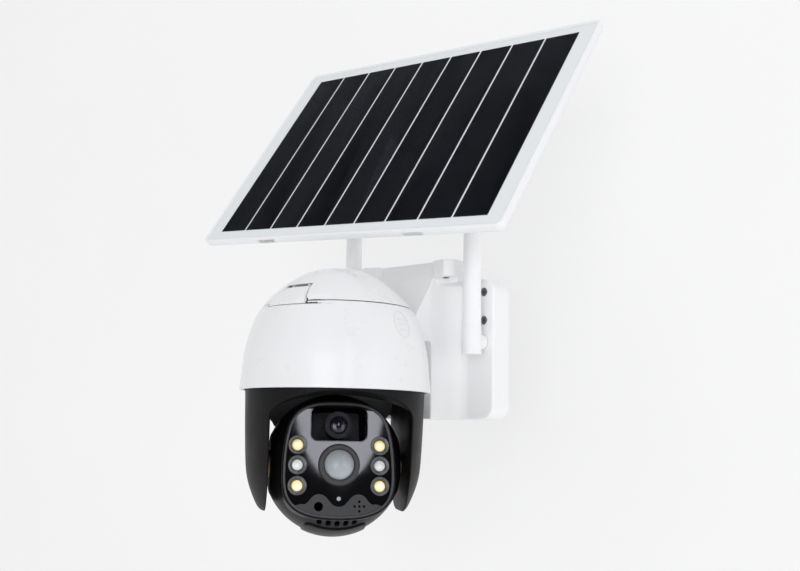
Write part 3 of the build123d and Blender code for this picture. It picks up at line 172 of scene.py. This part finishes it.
def board(name, color):
    """Circuit board: solder resist with copper tracks under it."""
    m = Mat(name)
    v = m.coords()
    br = m.node("ShaderNodeTexBrick")
    br.inputs["Scale"].default_value = 160.0
    br.inputs["Mortar Size"].default_value = 0.03
    br.inputs["Color1"].default_value = (*color, 1)
    br.inputs["Color2"].default_value = (*shade(color, 0.8), 1)
    br.inputs["Mortar"].default_value = (*shade(color, 2.2), 1)
    m.link(v, br.inputs["Vector"])
    m.link(br.outputs["Color"], m.b.inputs["Base Color"])
    m.link(m.span(m.noise(v, 80.0), 0.3, 0.45), m.b.inputs["Roughness"])
    m.link(m.bump(br.outputs["Fac"], 0.3, 0.00003), m.b.inputs["Normal"])
    return m.m


def clear(name, tint, gloss_rough=0.04, clear_share=0.9, ior=1.49, ripple=120.0):
    """Thin clear sheet: lets the light through, with a fresnel gloss on top."""
    m = Mat(name)
    v = m.coords()
    nodes = m.t.nodes
    nodes.remove(m.b)
    tr = m.node("ShaderNodeBsdfTransparent")
    tr.inputs["Color"].default_value = (*tint, 1)
    gl = m.node("ShaderNodeBsdfGlossy")
    gl.inputs["Color"].default_value = (1, 1, 1, 1)
    m.link(m.span(m.noise(v, ripple, 3.0), gloss_rough * 0.6, gloss_rough * 1.6), gl.inputs["Roughness"])
    nb = m.bump(m.noise(v, ripple * 0.3, 1.0), 0.05, 0.00004)
    m.link(nb, gl.inputs["Normal"])
    fr = m.node("ShaderNodeFresnel")
    fr.inputs["IOR"].default_value = ior
    geo = m.node("ShaderNodeNewGeometry")
    front = m.node("ShaderNodeMath", operation="SUBTRACT")
    front.inputs[0].default_value = 1.0
    m.link(geo.outputs["Backfacing"], front.inputs[1])
    share = m.node("ShaderNodeMath", operation="MULTIPLY")
    m.link(fr.outputs["Fac"], share.inputs[0])
    m.link(front.outputs[0], share.inputs[1])
    mx = m.node("ShaderNodeMixShader")
    m.link(share.outputs[0], mx.inputs["Fac"])
    m.link(tr.outputs["BSDF"], mx.inputs[1])
    m.link(gl.outputs["BSDF"], mx.inputs[2])
    m.link(mx.outputs["Shader"], m.out.inputs["Surface"])
    return m.m


def solar_material():
    """Dark silicon: navy tint, faint crystal drift, hair-thin fingers and two busbars per strip."""
    m = Mat("silicon_cells")
    v = m.coords(PANEL_M)
    sep = m.node("ShaderNodeSeparateXYZ")
    m.link(v, sep.inputs["Vector"])

    def line(axis, pitch, width):
        mul = m.node("ShaderNodeMath", operation="MULTIPLY")
        mul.inputs[1].default_value = 1.0 / pitch
        m.link(sep.outputs[axis], mul.inputs[0])
        fr = m.node("ShaderNodeMath", operation="FRACT")
        m.link(mul.outputs[0], fr.inputs[0])
        lt = m.node("ShaderNodeMath", operation="LESS_THAN")
        lt.inputs[1].default_value = width / pitch
        m.link(fr.outputs[0], lt.inputs[0])
        return lt.outputs[0]

    fingers = line("X", 0.0021, 0.00012)
    bars = line("Y", 0.0405, 0.0007)
    add = m.node("ShaderNodeMath", operation="MAXIMUM")
    m.link(fingers, add.inputs[0])
    m.link(bars, add.inputs[1])
    base = m.ramp(m.noise(v, 22.0, 4.0), [(0.3, (0.0022, 0.0026, 0.0068)), (0.7, (0.0042, 0.0050, 0.0120))])
    mix = m.node("ShaderNodeMix", data_type="RGBA")
    m.link(add.outputs[0], mix.inputs["Factor"])
    m.link(base, mix.inputs["A"])
    mix.inputs["B"].default_value = (0.016, 0.018, 0.030, 1)
    m.link(mix.outputs["Result"], m.b.inputs["Base Color"])
    m.link(m.span(m.noise(v, 300.0), 0.32, 0.46), m.b.inputs["Roughness"])
    m.link(m.bump(add.outputs[0], 0.2, 0.00002), m.b.inputs["Normal"])
    m.b.inputs["Specular IOR Level"].default_value = 0.06
    return m.m


WHITE = (0.80, 0.81, 0.825)
# painted light: the body, box and antenna white is painted brighter than the dome's white of the same plastic, to make
# up for the shade they sit in under the panel and behind the dome
white_body_painted_bright = plastic("white_body_plastic_painted_bright", (0.905, 0.910, 0.918), 0.36, 0.02, 1100, 0.00002, spec=0.42, sss=0.0)
white_dome = plastic("white_dome_plastic", (0.83, 0.836, 0.85), 0.30, 0.015, 1300, 0.000015, coat=0.15, spec=0.45)
white_lid = plastic("white_lid_plastic", (0.84, 0.845, 0.858), 0.30, 0.015, 1300, 0.000015, coat=0.15, spec=0.45)
white_antenna_painted_bright = plastic("white_antenna_plastic_painted_bright", (0.90, 0.905, 0.915), 0.42, 0.02, 900, 0.00003, spec=0.4)
white_panel = plastic("white_panel_plastic", (0.86, 0.872, 0.885), 0.22, 0.012, 1400, 0.00001, coat=0.3)
white_badge = plastic("white_badge_plastic", (0.80, 0.806, 0.82), 0.40, 0.03, 900, 0.00002)
black_yoke = plastic("black_yoke_plastic", (0.0050, 0.0050, 0.0056), 0.46, 0.12, 800, 0.00005, spec=0.15)
black_head = plastic("black_head_plastic", (0.0060, 0.0060, 0.0064), 0.40, 0.12, 850, 0.00004, spec=0.19)
black_bottom = plastic("black_bottom_plastic", (0.0045, 0.0045, 0.0048), 0.38, 0.12, 850, 0.00004, spec=0.16)
grey_trim = plastic("grey_trim_plastic", (0.030, 0.030, 0.034), 0.36, 0.10, 1000, 0.00002, spec=0.5)
ring_bezel = plastic("bezel_ring_plastic", (0.040, 0.040, 0.044), 0.30, 0.10, 1000, 0.00002, spec=0.6)
pir_rim = plastic("sensor_ring_plastic", (0.045, 0.046, 0.050), 0.55, 0.22, 1500, 0.00016, spec=0.4)
grey_inner = plastic("grey_inner_plastic", (0.20, 0.20, 0.21), 0.5, 0.06)
dark_nylon = plastic("dark_nylon", (0.028, 0.028, 0.030), 0.5, 0.1)
natural_gear = plastic("acetal_gears", (0.72, 0.70, 0.63), 0.42, 0.04, 600, 0.00003)
rubber = plastic("black_rubber", (0.016, 0.016, 0.016), 0.72, 0.15, 500, 0.00008, spec=0.3)
slot_plastic = plastic("slot_housing_plastic", (0.06, 0.06, 0.065), 0.48, 0.1)
battery_wrap = plastic("battery_wrap", (0.03, 0.13, 0.30), 0.30, 0.08, 500, 0.00002, coat=0.3)
red_button = plastic("power_button_rubber", (0.05, 0.05, 0.052), 0.6, 0.1)
steel = metal("screw_steel", (0.44, 0.44, 0.45), 0.34)
dark_steel = metal("dark_steel", (0.20, 0.20, 0.21), 0.40)
bronze = metal("sintered_bronze", (0.52, 0.36, 0.20), 0.45)
can_steel = metal("motor_can_steel", (0.50, 0.50, 0.51), 0.30)
alu = metal("painted_mast", (0.60, 0.60, 0.61), 0.40)
white_mast = plastic("white_coated_mast", (0.78, 0.785, 0.80), 0.40, 0.03, 700, 0.00006)
green_board = board("green_board", (0.010, 0.085, 0.035))
black_board = board("black_board", (0.010, 0.010, 0.012))
cells = solar_material()
panel_clear = clear("panel_cover_glass", (0.985, 0.99, 0.99), 0.16, ior=1.03)
window_clear = clear("smoked_window", (0.80, 0.80, 0.82), 0.02, ior=1.04)
lens_clear = clear("lamp_lens_clear", (0.88, 0.89, 0.90), 0.05, ior=1.49)


def glass_face():
    """Ink-black polished acrylic with faint wipe marks in its gloss."""
    m = Mat("black_face_glass")
    v = m.coords(HEAD_M)
    m.link(m.ramp(m.noise(v, 40.0), [(0.3, (0.0022, 0.0022, 0.0028)), (0.7, (0.0040, 0.0040, 0.0050))]), m.b.inputs["Base Color"])
    m.link(m.span(m.noise(v, 70.0, 4.0), 0.02, 0.05), m.b.inputs["Roughness"])
    m.link(m.bump(m.noise(v, 16.0, 0.0), 0.02, 0.0001), m.b.inputs["Normal"])
    m.b.inputs["Specular IOR Level"].default_value = 0.62
    return m.m


def pir_material():
    """Milky polyethylene dome with moulded rings."""
    m = Mat("milky_sensor_dome")
    v = m.coords(FACE_M @ Matrix.Translation((0, -3.6 * MM, 0)))
    w = m.node("ShaderNodeTexWave", wave_type="RINGS", rings_direction="Z")
    w.inputs["Scale"].default_value = 260.0
    w.inputs["Distortion"].default_value = 0.0
    m.link(v, w.inputs["Vector"])
    m.link(m.ramp(m.noise(v, 60.0, 3.0), [(0.3, (0.32, 0.35, 0.38)), (0.7, (0.43, 0.46, 0.49))]), m.b.inputs["Base Color"])
    m.link(m.span(m.noise(v, 160.0), 0.20, 0.34), m.b.inputs["Roughness"])
    m.link(m.bump(w.outputs["Fac"], 0.22, 0.00010), m.b.inputs["Normal"])
    m.b.inputs["Subsurface Weight"].default_value = 0.2
    m.b.inputs["Subsurface Radius"].default_value = (0.002, 0.002, 0.002)
    m.b.inputs["Specular IOR Level"].default_value = 0.55
    return m.m


def lamp_material(name, ring, centre, strength):
    """Phosphor disc of a lamp: coloured dome with a pale emitting spot."""
    m = Mat(name)
    v = m.coords()
    m.link(m.ramp(m.noise(v, 300.0, 3.0), [(0.3, ring), (0.7, centre)]), m.b.inputs["Base Color"])
    m.link(m.span(m.noise(v, 220.0), 0.12, 0.24), m.b.inputs["Roughness"])
    m.link(m.bump(m.noise(v, 700.0, 2.0), 0.2, 0.00004), m.b.inputs["Normal"])
    m.b.inputs["Emission Color"].default_value = (*ring, 1)
    m.b.inputs["Emission Strength"].default_value = strength
    return m.m


face_glass = glass_face()
pir_dome = pir_material()
lamp_yellow = lamp_material("warm_phosphor", (0.93, 0.72, 0.30), (1.0, 0.90, 0.58), 0.22)
lamp_core = lamp_material("warm_phosphor_core", (0.98, 0.93, 0.66), (1.0, 0.98, 0.82), 0.25)
lamp_grey = lamp_material("infrared_emitter", (0.62, 0.63, 0.66), (0.80, 0.81, 0.83), 0.05)
lamp_grey_core = lamp_material("infrared_core", (0.72, 0.71, 0.68), (0.9, 0.89, 0.85), 0.06)
lamp_rim = plastic("lamp_reflector_rim", (0.045, 0.046, 0.050), 0.20, 0.15, 900, 0.00002, coat=0.6, spec=0.8)
lens_coated = plastic("coated_front_lens", (0.020, 0.016, 0.034), 0.05, 0.3, 300, 0.000004, coat=1.0, spec=1.0)

ASSIGN = {
    "wall_plate": grey_inner, "back_cover": white_body_painted_bright, "box_gasket": rubber, "body_housing": white_body_painted_bright,
    "housing_screws": dark_steel, "battery_cells": battery_wrap, "battery_holder": dark_nylon, "charge_board": green_board,
    "power_inlet": dark_nylon, "power_button": red_button, "panel_mast": white_mast, "panel_hinge_bolt": steel,
    "panel_tilt_head": white_mast, "panel_frame": white_panel, "solar_cells": cells, "panel_glass": panel_clear,
    "junction_box": dark_nylon, "dome_shell": white_dome, "lid": white_lid, "lid_hinge_pin": steel, "latch": white_lid,
    "latch_pin": steel, "chassis_plate": grey_inner, "pan_bearing": bronze, "pan_motor": can_steel, "main_board": green_board,
    "card_slot": slot_plastic, "reset_button": red_button, "pan_gear": natural_gear, "pan_pinion": natural_gear,
    "pan_shaft": dark_nylon, "yoke": black_yoke, "trunnions": steel, "tilt_gear": natural_gear, "tilt_pinion": natural_gear,
    "tilt_motor": can_steel, "tilt_bushes": bronze, "head_front": black_head, "head_rear": black_head, "head_screws": dark_steel,
    "face_bezel": ring_bezel, "face_glass": face_glass, "lens_window": window_clear, "lens_barrel": dark_nylon,
    "camera_lens": lens_coated, "sensor_board": black_board, "pir_ring": pir_rim, "pir_lens": pir_dome, "led_board": black_board,
    "white_leds": lamp_yellow, "infrared_leds": lamp_grey, "led_lenses": lens_clear, "lower_trim": grey_trim,
    "light_sensor": pir_dome, "speaker": dark_nylon, "bottom_cover": black_bottom, "antenna_left": white_antenna_painted_bright,
    "antenna_right": white_antenna_painted_bright, "antenna_bushes": white_body_painted_bright, "side_badges": white_badge,
}
BODY = {n: b for b, ns in frame["record"]["behaviour"]["bodies"].items() for n in ns}
for n, o in NODES.items():
    m = ASSIGN.get(n, dark_nylon)
    o.data.materials.clear()
    o.data.materials.append(m)


# ---------------------------------------------------------------- pieces
def finish_piece(ob, nodes, material, body=None, smooth=True):
    ob.data.materials.clear()
    ob.data.materials.append(material)
    if smooth:
        for p in ob.data.polygons:
            p.use_smooth = True
    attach(ob, body or BODY[nodes[0]])
    if nodes:
        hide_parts(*nodes)
    return ob


def moulded(node, voxel, rounds, name, matrix=None, material=None, factor=0.5):
    """A moulded skin of a node: every edge is rounded and every inner corner gets its fillet, as a mould leaves it."""
    src = NODES[node]
    me = src.data.copy()
    me.name = name
    ob = bpy.data.objects.new(name, me)
    bpy.context.scene.collection.objects.link(ob)
    m = matrix or Matrix.Identity(4)
    me.transform(m.inverted())
    r = ob.modifiers.new("r", "REMESH")
    r.mode = "VOXEL"
    r.voxel_size = voxel * MM
    r.use_smooth_shade = True
    s = ob.modifiers.new("s", "SMOOTH")
    s.factor = factor
    s.iterations = rounds
    dg = bpy.context.evaluated_depsgraph_get()
    new = bpy.data.meshes.new_from_object(ob.evaluated_get(dg))
    ob.modifiers.clear()
    ob.data = new
    new.name = name
    new.transform(m)
    # stay inside the node's own box
    lo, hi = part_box(node)
    for v in new.vertices:
        for k in range(3):
            v.co[k] = min(max(v.co[k], lo[k]), hi[k])
    return finish_piece(ob, [node], material or ASSIGN[node])


def lathe(bm, profile, centre, matrix, seg=64, wobble=None, slot=0):
    """Turned ring or dome about the local z axis through centre; profile is (radius, height) in mm."""
    rings = []
    for r, h in profile:
        if r < 1e-6:
            rings.append([bm.verts.new(matrix @ Vector((centre[0] * MM, centre[1] * MM, h * MM)))])
            continue
        ring = []
        for i in range(seg):
            a = 2 * math.pi * i / seg
            k = 1.0 if wobble is None else 1.0 + wobble(a, r)
            ring.append(bm.verts.new(matrix @ Vector(((centre[0] + r * k * math.cos(a)) * MM, (centre[1] + r * k * math.sin(a)) * MM, h * MM))))
        rings.append(ring)
    for a, b in zip(rings, rings[1:]):
        n = max(len(a), len(b))
        for i in range(n):
            j = (i + 1) % n
            if len(a) == 1:
                f = bm.faces.new((a[0], b[i], b[j]))
            elif len(b) == 1:
                f = bm.faces.new((a[i], b[0], a[j]))
            else:
                f = bm.faces.new((a[i], b[i], b[j], a[j]))
            f.smooth = True
            f.material_index = slot
    return rings


def new_piece(name, build, materials, body, nodes=()):
    bm = bmesh.new()
    build(bm)
    bmesh.ops.recalc_face_normals(bm, faces=bm.faces)
    me = bpy.data.meshes.new(name)
    bm.to_mesh(me)
    bm.free()
    ob = bpy.data.objects.new(name, me)
    bpy.context.scene.collection.objects.link(ob)
    for m in materials:
        me.materials.append(m)
    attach(ob, body)
    if nodes:
        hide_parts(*nodes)
    return ob


moulded("body_housing", 0.55, 10, "moulded_body_housing")
moulded("lid", 0.40, 7, "moulded_lid")
moulded("latch", 0.28, 4, "moulded_latch")
moulded("dome_shell", 0.45, 7, "moulded_dome_shell")
moulded("yoke", 0.50, 8, "moulded_yoke", YOKE_M)
moulded("head_front", 0.40, 4, "moulded_head_front", HEAD_M)
moulded("head_rear", 0.50, 4, "moulded_head_rear", HEAD_M)
moulded("bottom_cover", 0.30, 5, "moulded_bottom_cover", HEAD_M)
moulded("lower_trim", 0.16, 3, "moulded_lower_trim", HEAD_M)
moulded("antenna_left", 0.35, 6, "moulded_antenna_left")
moulded("antenna_right", 0.35, 6, "moulded_antenna_right")
moulded("junction_box", 0.40, 4, "moulded_junction_box", PANEL_M)

# lamps: clear ridged rim with a small dome, phosphor disc with its raised core
LED_X, LED_Z = 24.9, (8.2, -3.8, -16.0)
LED_AT = [(s * LED_X, z) for s in (-1, 1) for z in LED_Z]
WHITE_AT = [p for p in LED_AT if p[1] != LED_Z[1]]
INFRA_AT = [p for p in LED_AT if p[1] == LED_Z[1]]
RIM = [(5.7, -2.1), (5.7, 0.15), (5.45, 0.40), (5.15, 0.25), (4.95, 0.02), (4.7, 0.28), (4.45, 0.02), (4.25, -0.25), (4.0, -0.05), (3.75, -0.35), (3.55, -0.9), (3.4, -2.0), (5.7, -2.1)]
DOME_P = [(3.42, -1.5), (3.2, -0.75), (2.8, -0.35), (2.2, -0.15), (1.75, -0.12)]
CORE = [(1.75, -0.14), (1.6, 0.10), (1.2, 0.26), (0.6, 0.33), (0.0, 0.35)]


def rims(bm):
    for c in LED_AT:
        lathe(bm, RIM, c, FACE_M, 72)


new_piece("lamp_rims", rims, [lamp_rim], "head", ["led_lenses"])


def lamp_set(points):
    def build(bm):
        for c in points:
            lathe(bm, [(0.0, -5.0), (2.4, -5.0), (2.4, -1.6)] + DOME_P, c, FACE_M, 64, slot=0)
            lathe(bm, CORE, c, FACE_M, 48, slot=1)
    return build


new_piece("lamp_discs_warm", lamp_set(WHITE_AT), [lamp_yellow, lamp_core], "head", ["white_leds"])
new_piece("lamp_discs_infrared", lamp_set(INFRA_AT), [lamp_grey, lamp_grey_core], "head", ["infrared_leds"])

# camera lens: stack of rings in the barrel with a domed front glass
LENS_C = (0.0, 21.0)


def lens_rings(bm):
    lathe(bm, [(8.1, -9.0), (8.1, -3.9), (7.8, -3.55), (7.2, -3.55), (6.9, -3.9), (6.9, -4.3), (6.5, -4.3), (6.3, -4.7), (5.9, -4.7), (5.7, -5.3), (5.4, -5.4)], LENS_C, FACE_M, 96)


def lens_glass(bm):
    lathe(bm, [(5.4, -5.35), (5.2, -4.6), (4.4, -3.9), (3.2, -3.4), (1.7, -3.1), (0.0, -3.0)], LENS_C, FACE_M, 96)


new_piece("lens_front_rings", lens_rings, [dark_nylon], "head")
new_piece("lens_front_glass", lens_glass, [lens_coated], "head", ["camera_lens"])


# sensor dome and its knurled ring
def pir_piece(bm):
    R = 11.30
    prof = [(8.95, -2.4), (8.95, 1.6), (8.85, 1.95)]
    for i in range(1, 25):
        a = math.radians(52.4) * (1 - i / 24)
        prof.append((R * math.sin(a) * 0.985, -4.9 + R * math.cos(a)))
    prof[-1] = (0.0, -4.9 + R)
    lathe(bm, prof, (0, -3.6), FACE_M, 96)


new_piece("sensor_dome", pir_piece, [pir_dome], "head", ["pir_lens"])


def pir_collar(bm):
    lathe(bm, [(9.05, -2.9), (9.05, 2.3), (9.4, 2.75), (10.0, 3.15), (10.9, 3.3), (11.7, 3.1), (12.2, 2.6), (12.5, 1.6), (12.6, 0.05), (12.0, 0.02), (11.95, -2.9), (9.05, -2.9)],
          (0, -3.6), FACE_M, 120)


new_piece("sensor_collar", pir_collar, [pir_rim], "head", ["pir_ring"])


# solar panel frame: raised rounded lip, soft corners, ledge around the cells, ribbed back with its boss
def rounded_rect(w, h, r, seg=10):
    pts = []
    for cx, cy, a0 in ((w / 2 - r, h / 2 - r, 0), (-w / 2 + r, h / 2 - r, 90), (-w / 2 + r, -h / 2 + r, 180), (w / 2 - r, -h / 2 + r, 270)):
        for i in range(seg + 1):
            a = math.radians(a0 + 90 * i / seg)
            pts.append((cx + r * math.cos(a), cy + r * math.sin(a)))
    return pts


def panel_frame_piece(bm):
    W, H, T = 269.0, 181.0, 6.0
    prof = [(20.0, -2.45), (5.2, -2.45), (5.0, -2.6), (5.0, -5.7), (4.7, -6.0), (0.9, -6.0), (0.35, -5.8), (0.0, -5.2), (0.0, -0.9), (0.18, -0.35), (0.6, -0.06), (1.1, 0.0),
            (1.7, -0.08), (2.15, -0.3), (2.35, -0.62), (2.5, -1.08)]
    loops = []
    for d, h in prof:
        pts = rounded_rect(W - 2 * d, H - 2 * d, max(5.0 - d, 1.6), 10)
        loops.append([bm.verts.new(PANEL_M @ Vector((x * MM, y * MM, h * MM))) for x, y in pts])
    for a, b in zip(loops, loops[1:]):
        for i in range(len(a)):
            j = (i + 1) % len(a)
            f = bm.faces.new((a[i], a[j], b[j], b[i]))
            f.smooth = True
    bm.faces.new(loops[0])
    bm.faces.new(loops[-1])


frame_piece = new_piece("panel_frame_lipped", panel_frame_piece, [white_panel], "panel", ["panel_frame"])


def boss_piece(bm):
    m = PANEL_M
    lathe(bm, [(4.6, -2.5), (4.6, -8.9), (4.9, -9.0), (21.2, -9.0), (21.8, -8.7), (22.0, -8.1), (22.0, -6.2), (24.5, -5.9), (25.9, -5.6), (26.0, -2.4)], (0, 0), m, 120)


new_piece("panel_turntable_boss", boss_piece, [white_panel], "panel")


def panel_ribs(bm):
    """Stiffening ribs moulded into the hollow back of the panel."""
    def bar(x0, y0, x1, y1, w):
        d = Vector((x1 - x0, y1 - y0)).normalized()
        n = Vector((-d.y, d.x)) * w / 2
        prof = [(-1.0, -2.4), (-0.85, -5.3), (-0.55, -5.6), (0.55, -5.6), (0.85, -5.3), (1.0, -2.4)]
        ends = []
        for px, py in ((x0, y0), (x1, y1)):
            ends.append([bm.verts.new(PANEL_M @ Vector(((px + n.x * k) * MM, (py + n.y * k) * MM, h * MM))) for k, h in prof])
        for i in range(len(prof) - 1):
            bm.faces.new((ends[0][i], ends[0][i + 1], ends[1][i + 1], ends[1][i]))
        bm.faces.new(ends[0])
        bm.faces.new(list(reversed(ends[1])))
    for x in (-96, -58, 58, 96):
        bar(x, -84.5, x, 84.5, 1.8)
    for y in (-34, 34):
        bar(-128.5, y, -22, y, 1.8)
        bar(22, y, 128.5, y, 1.8)


new_piece("panel_back_ribs", panel_ribs, [white_panel], "panel")


# clip tongues on the long edges of the panel
def clips(bm):
    for x in (-67, 67):
        for s in (1, -1):
            y = s * 90.4
            pts = rounded_rect(17.0, 1.0, 0.45, 5)
            prof = [(1.0, -5.8), (1.0, -2.2), (0.86, -1.8), (0.6, -1.62)]
            loops = []
            for k, h in prof:
                loops.append([bm.verts.new(PANEL_M @ Vector(((x + px * (0.9 + 0.1 * k)) * MM, (y - s * 0.4 + py * k) * MM, h * MM))) for px, py in pts])
            for a, b in zip(loops, loops[1:]):
                for i in range(len(a)):
                    j = (i + 1) % len(a)
                    bm.faces.new((a[i], a[j], b[j], b[i]))
            bm.faces.new(loops[-1])
            bm.faces.new(list(reversed(loops[0])))


new_piece("panel_clip_tongues", clips, [white_panel], "panel")

# ---------------------------------------------------------------- stage, light, camera
stage_mat = Mat("backdrop_paper")
sv = stage_mat.coords()
stage_mat.link(stage_mat.ramp(stage_mat.noise(sv, 3.0, 3.0), [(0.3, (0.425, 0.425, 0.426)), (0.7, (0.440, 0.440, 0.441))]), stage_mat.b.inputs["Base Color"])
stage_mat.link(stage_mat.span(stage_mat.noise(sv, 40.0), 0.85, 0.95), stage_mat.b.inputs["Roughness"])
stage_mat.b.inputs["Specular IOR Level"].default_value = 0.1
# one-sided, so that the back of the part can be seen through it
st_geo = stage_mat.node("ShaderNodeNewGeometry")
st_tr = stage_mat.node("ShaderNodeBsdfTransparent")
st_mix = stage_mat.node("ShaderNodeMixShader")
stage_mat.link(st_geo.outputs["Backfacing"], st_mix.inputs["Fac"])
stage_mat.link(stage_mat.b.outputs["BSDF"], st_mix.inputs[1])
stage_mat.link(st_tr.outputs["BSDF"], st_mix.inputs[2])
stage_mat.link(st_mix.outputs["Shader"], stage_mat.out.inputs["Surface"])
stage_mat.b.inputs["Emission Color"].default_value = (1.0, 1.0, 1.0, 1)
stage_mat.b.inputs["Emission Strength"].default_value = 0.515


def backdrop():
    bm = bmesh.new()


    y0, z0, r = 0.12, -0.95, 0.5
    pts = [(-7.0, z0), (-3.0, z0), (y0 - r, z0)]
    for i in range(1, 17):
        a = math.radians(-90 + 90 * i / 16)
        pts.append((y0 - r + r * math.cos(a), z0 + r + r * math.sin(a)))
    pts += [(y0, 1.0), (y0, 5.5)]
    rows = [[bm.verts.new((x, y, z)) for y, z in pts] for x in (-18.0, -5.0, 5.0, 18.0)]
    for a, b in zip(rows, rows[1:]):
        for i in range(len(pts) - 1):
            f = bm.faces.new((a[i], b[i], b[i + 1], a[i + 1]))
            f.smooth = True
    me = bpy.data.meshes.new("backdrop")
    bm.to_mesh(me)
    bm.free()
    ob = bpy.data.objects.new("backdrop", me)
    bpy.context.scene.collection.objects.link(ob)
    me.materials.append(stage_mat.m)


backdrop()


def area(name, loc, target, size, power, shape="RECTANGLE", color=(1, 1, 1), size_y=None):
    l = bpy.data.lights.new(name, "AREA")
    l.energy = power
    l.shape = shape
    l.size = size
    if shape in ("RECTANGLE", "ELLIPSE"):
        l.size_y = size_y or size
    l.color = color
    ob = bpy.data.objects.new(name, l)
    ob.location = loc
    d = Vector(target) - Vector(loc)
    ob.rotation_euler = d.to_track_quat("-Z", "Y").to_euler()
    bpy.context.scene.collection.objects.link(ob)
    return ob


# pale studio all round, with a dark card where the polished face looks
fc = HEAD_M @ Vector((0, -FACE_D * MM, 22 * MM))
nrm = (HEAD_M.to_3x3() @ Vector((0, -1, 0))).normalized()
CAM = Vector((444.4, -580.4, -59.3)) * MM
view = (CAM - fc).normalized()
ref = (2 * nrm.dot(view) * nrm - view).normalized()
world = bpy.data.worlds.new("studio")
world.use_nodes = True
wt = world.node_tree
bg = wt.nodes["Background"]
bg.inputs["Strength"].default_value = 0.72
tc = wt.nodes.new("ShaderNodeTexCoord")
dot = wt.nodes.new("ShaderNodeVectorMath")
dot.operation = "DOT_PRODUCT"
dot.inputs[1].default_value = ref
wt.links.new(tc.outputs["Generated"], dot.inputs[0])
wr = wt.nodes.new("ShaderNodeValToRGB")
e = wr.color_ramp.elements
e[0].position, e[0].color = math.cos(math.radians(27)), (0.953, 0.957, 0.965, 1)
e[1].position, e[1].color = math.cos(math.radians(17)), (0.05, 0.05, 0.055, 1)
wt.links.new(dot.outputs["Value"], wr.inputs["Fac"])
wt.links.new(wr.outputs["Color"], bg.inputs["Color"])
bpy.context.scene.world = world

area("key_front", (1.0, -1.80, 0.05), (0.0, -0.08, 0.0), 1.0, 9.5)
area("fill_right", (2.0, -0.25, 0.0), (0.05, -0.05, 0), 1.0, 4.0)
area("top_soft", (-0.3, -0.9, 2.0), (0, -0.05, 0), 1.6, 3.5)

# softbox that the glass of the face mirrors in its upper half
up_head = (HEAD_M.to_3x3() @ Vector((0, 0, 1))).normalized()
top = HEAD_M @ Vector((0, -FACE_D * MM, 40 * MM))
view = (CAM - top).normalized()
ref = (2 * nrm.dot(view) * nrm - view).normalized()
area("face_softbox", top + ref * 1.5, top, 0.185, 1.05, "ELLIPSE", (0.90, 0.91, 1.0), 0.362)

az, pt, roll = math.radians(39.57), math.radians(8.42), math.radians(1.07)
F = Vector((-math.sin(az) * math.cos(pt), math.cos(az) * math.cos(pt), math.sin(pt)))
R = Vector((math.cos(az), math.sin(az), 0))
U = R.cross(F)
R2 = R * math.cos(roll) + U * math.sin(roll)
U2 = -R * math.sin(roll) + U * math.cos(roll)
cam = bpy.data.cameras.new("camera")
cam.lens = 45.9
cam.sensor_width = 36.0
cam.clip_start = 0.01
co = bpy.data.objects.new("camera", cam)
mw = Matrix.Identity(4)
for i in range(3):
    mw[i][0], mw[i][1], mw[i][2] = R2[i], U2[i], -F[i]
    mw[i][3] = CAM[i]
co.matrix_world = mw
bpy.context.scene.collection.objects.link(co)
bpy.context.scene.camera = co

scene = bpy.context.scene
scene.view_settings.view_transform = "Standard"
scene.view_settings.look = "None"
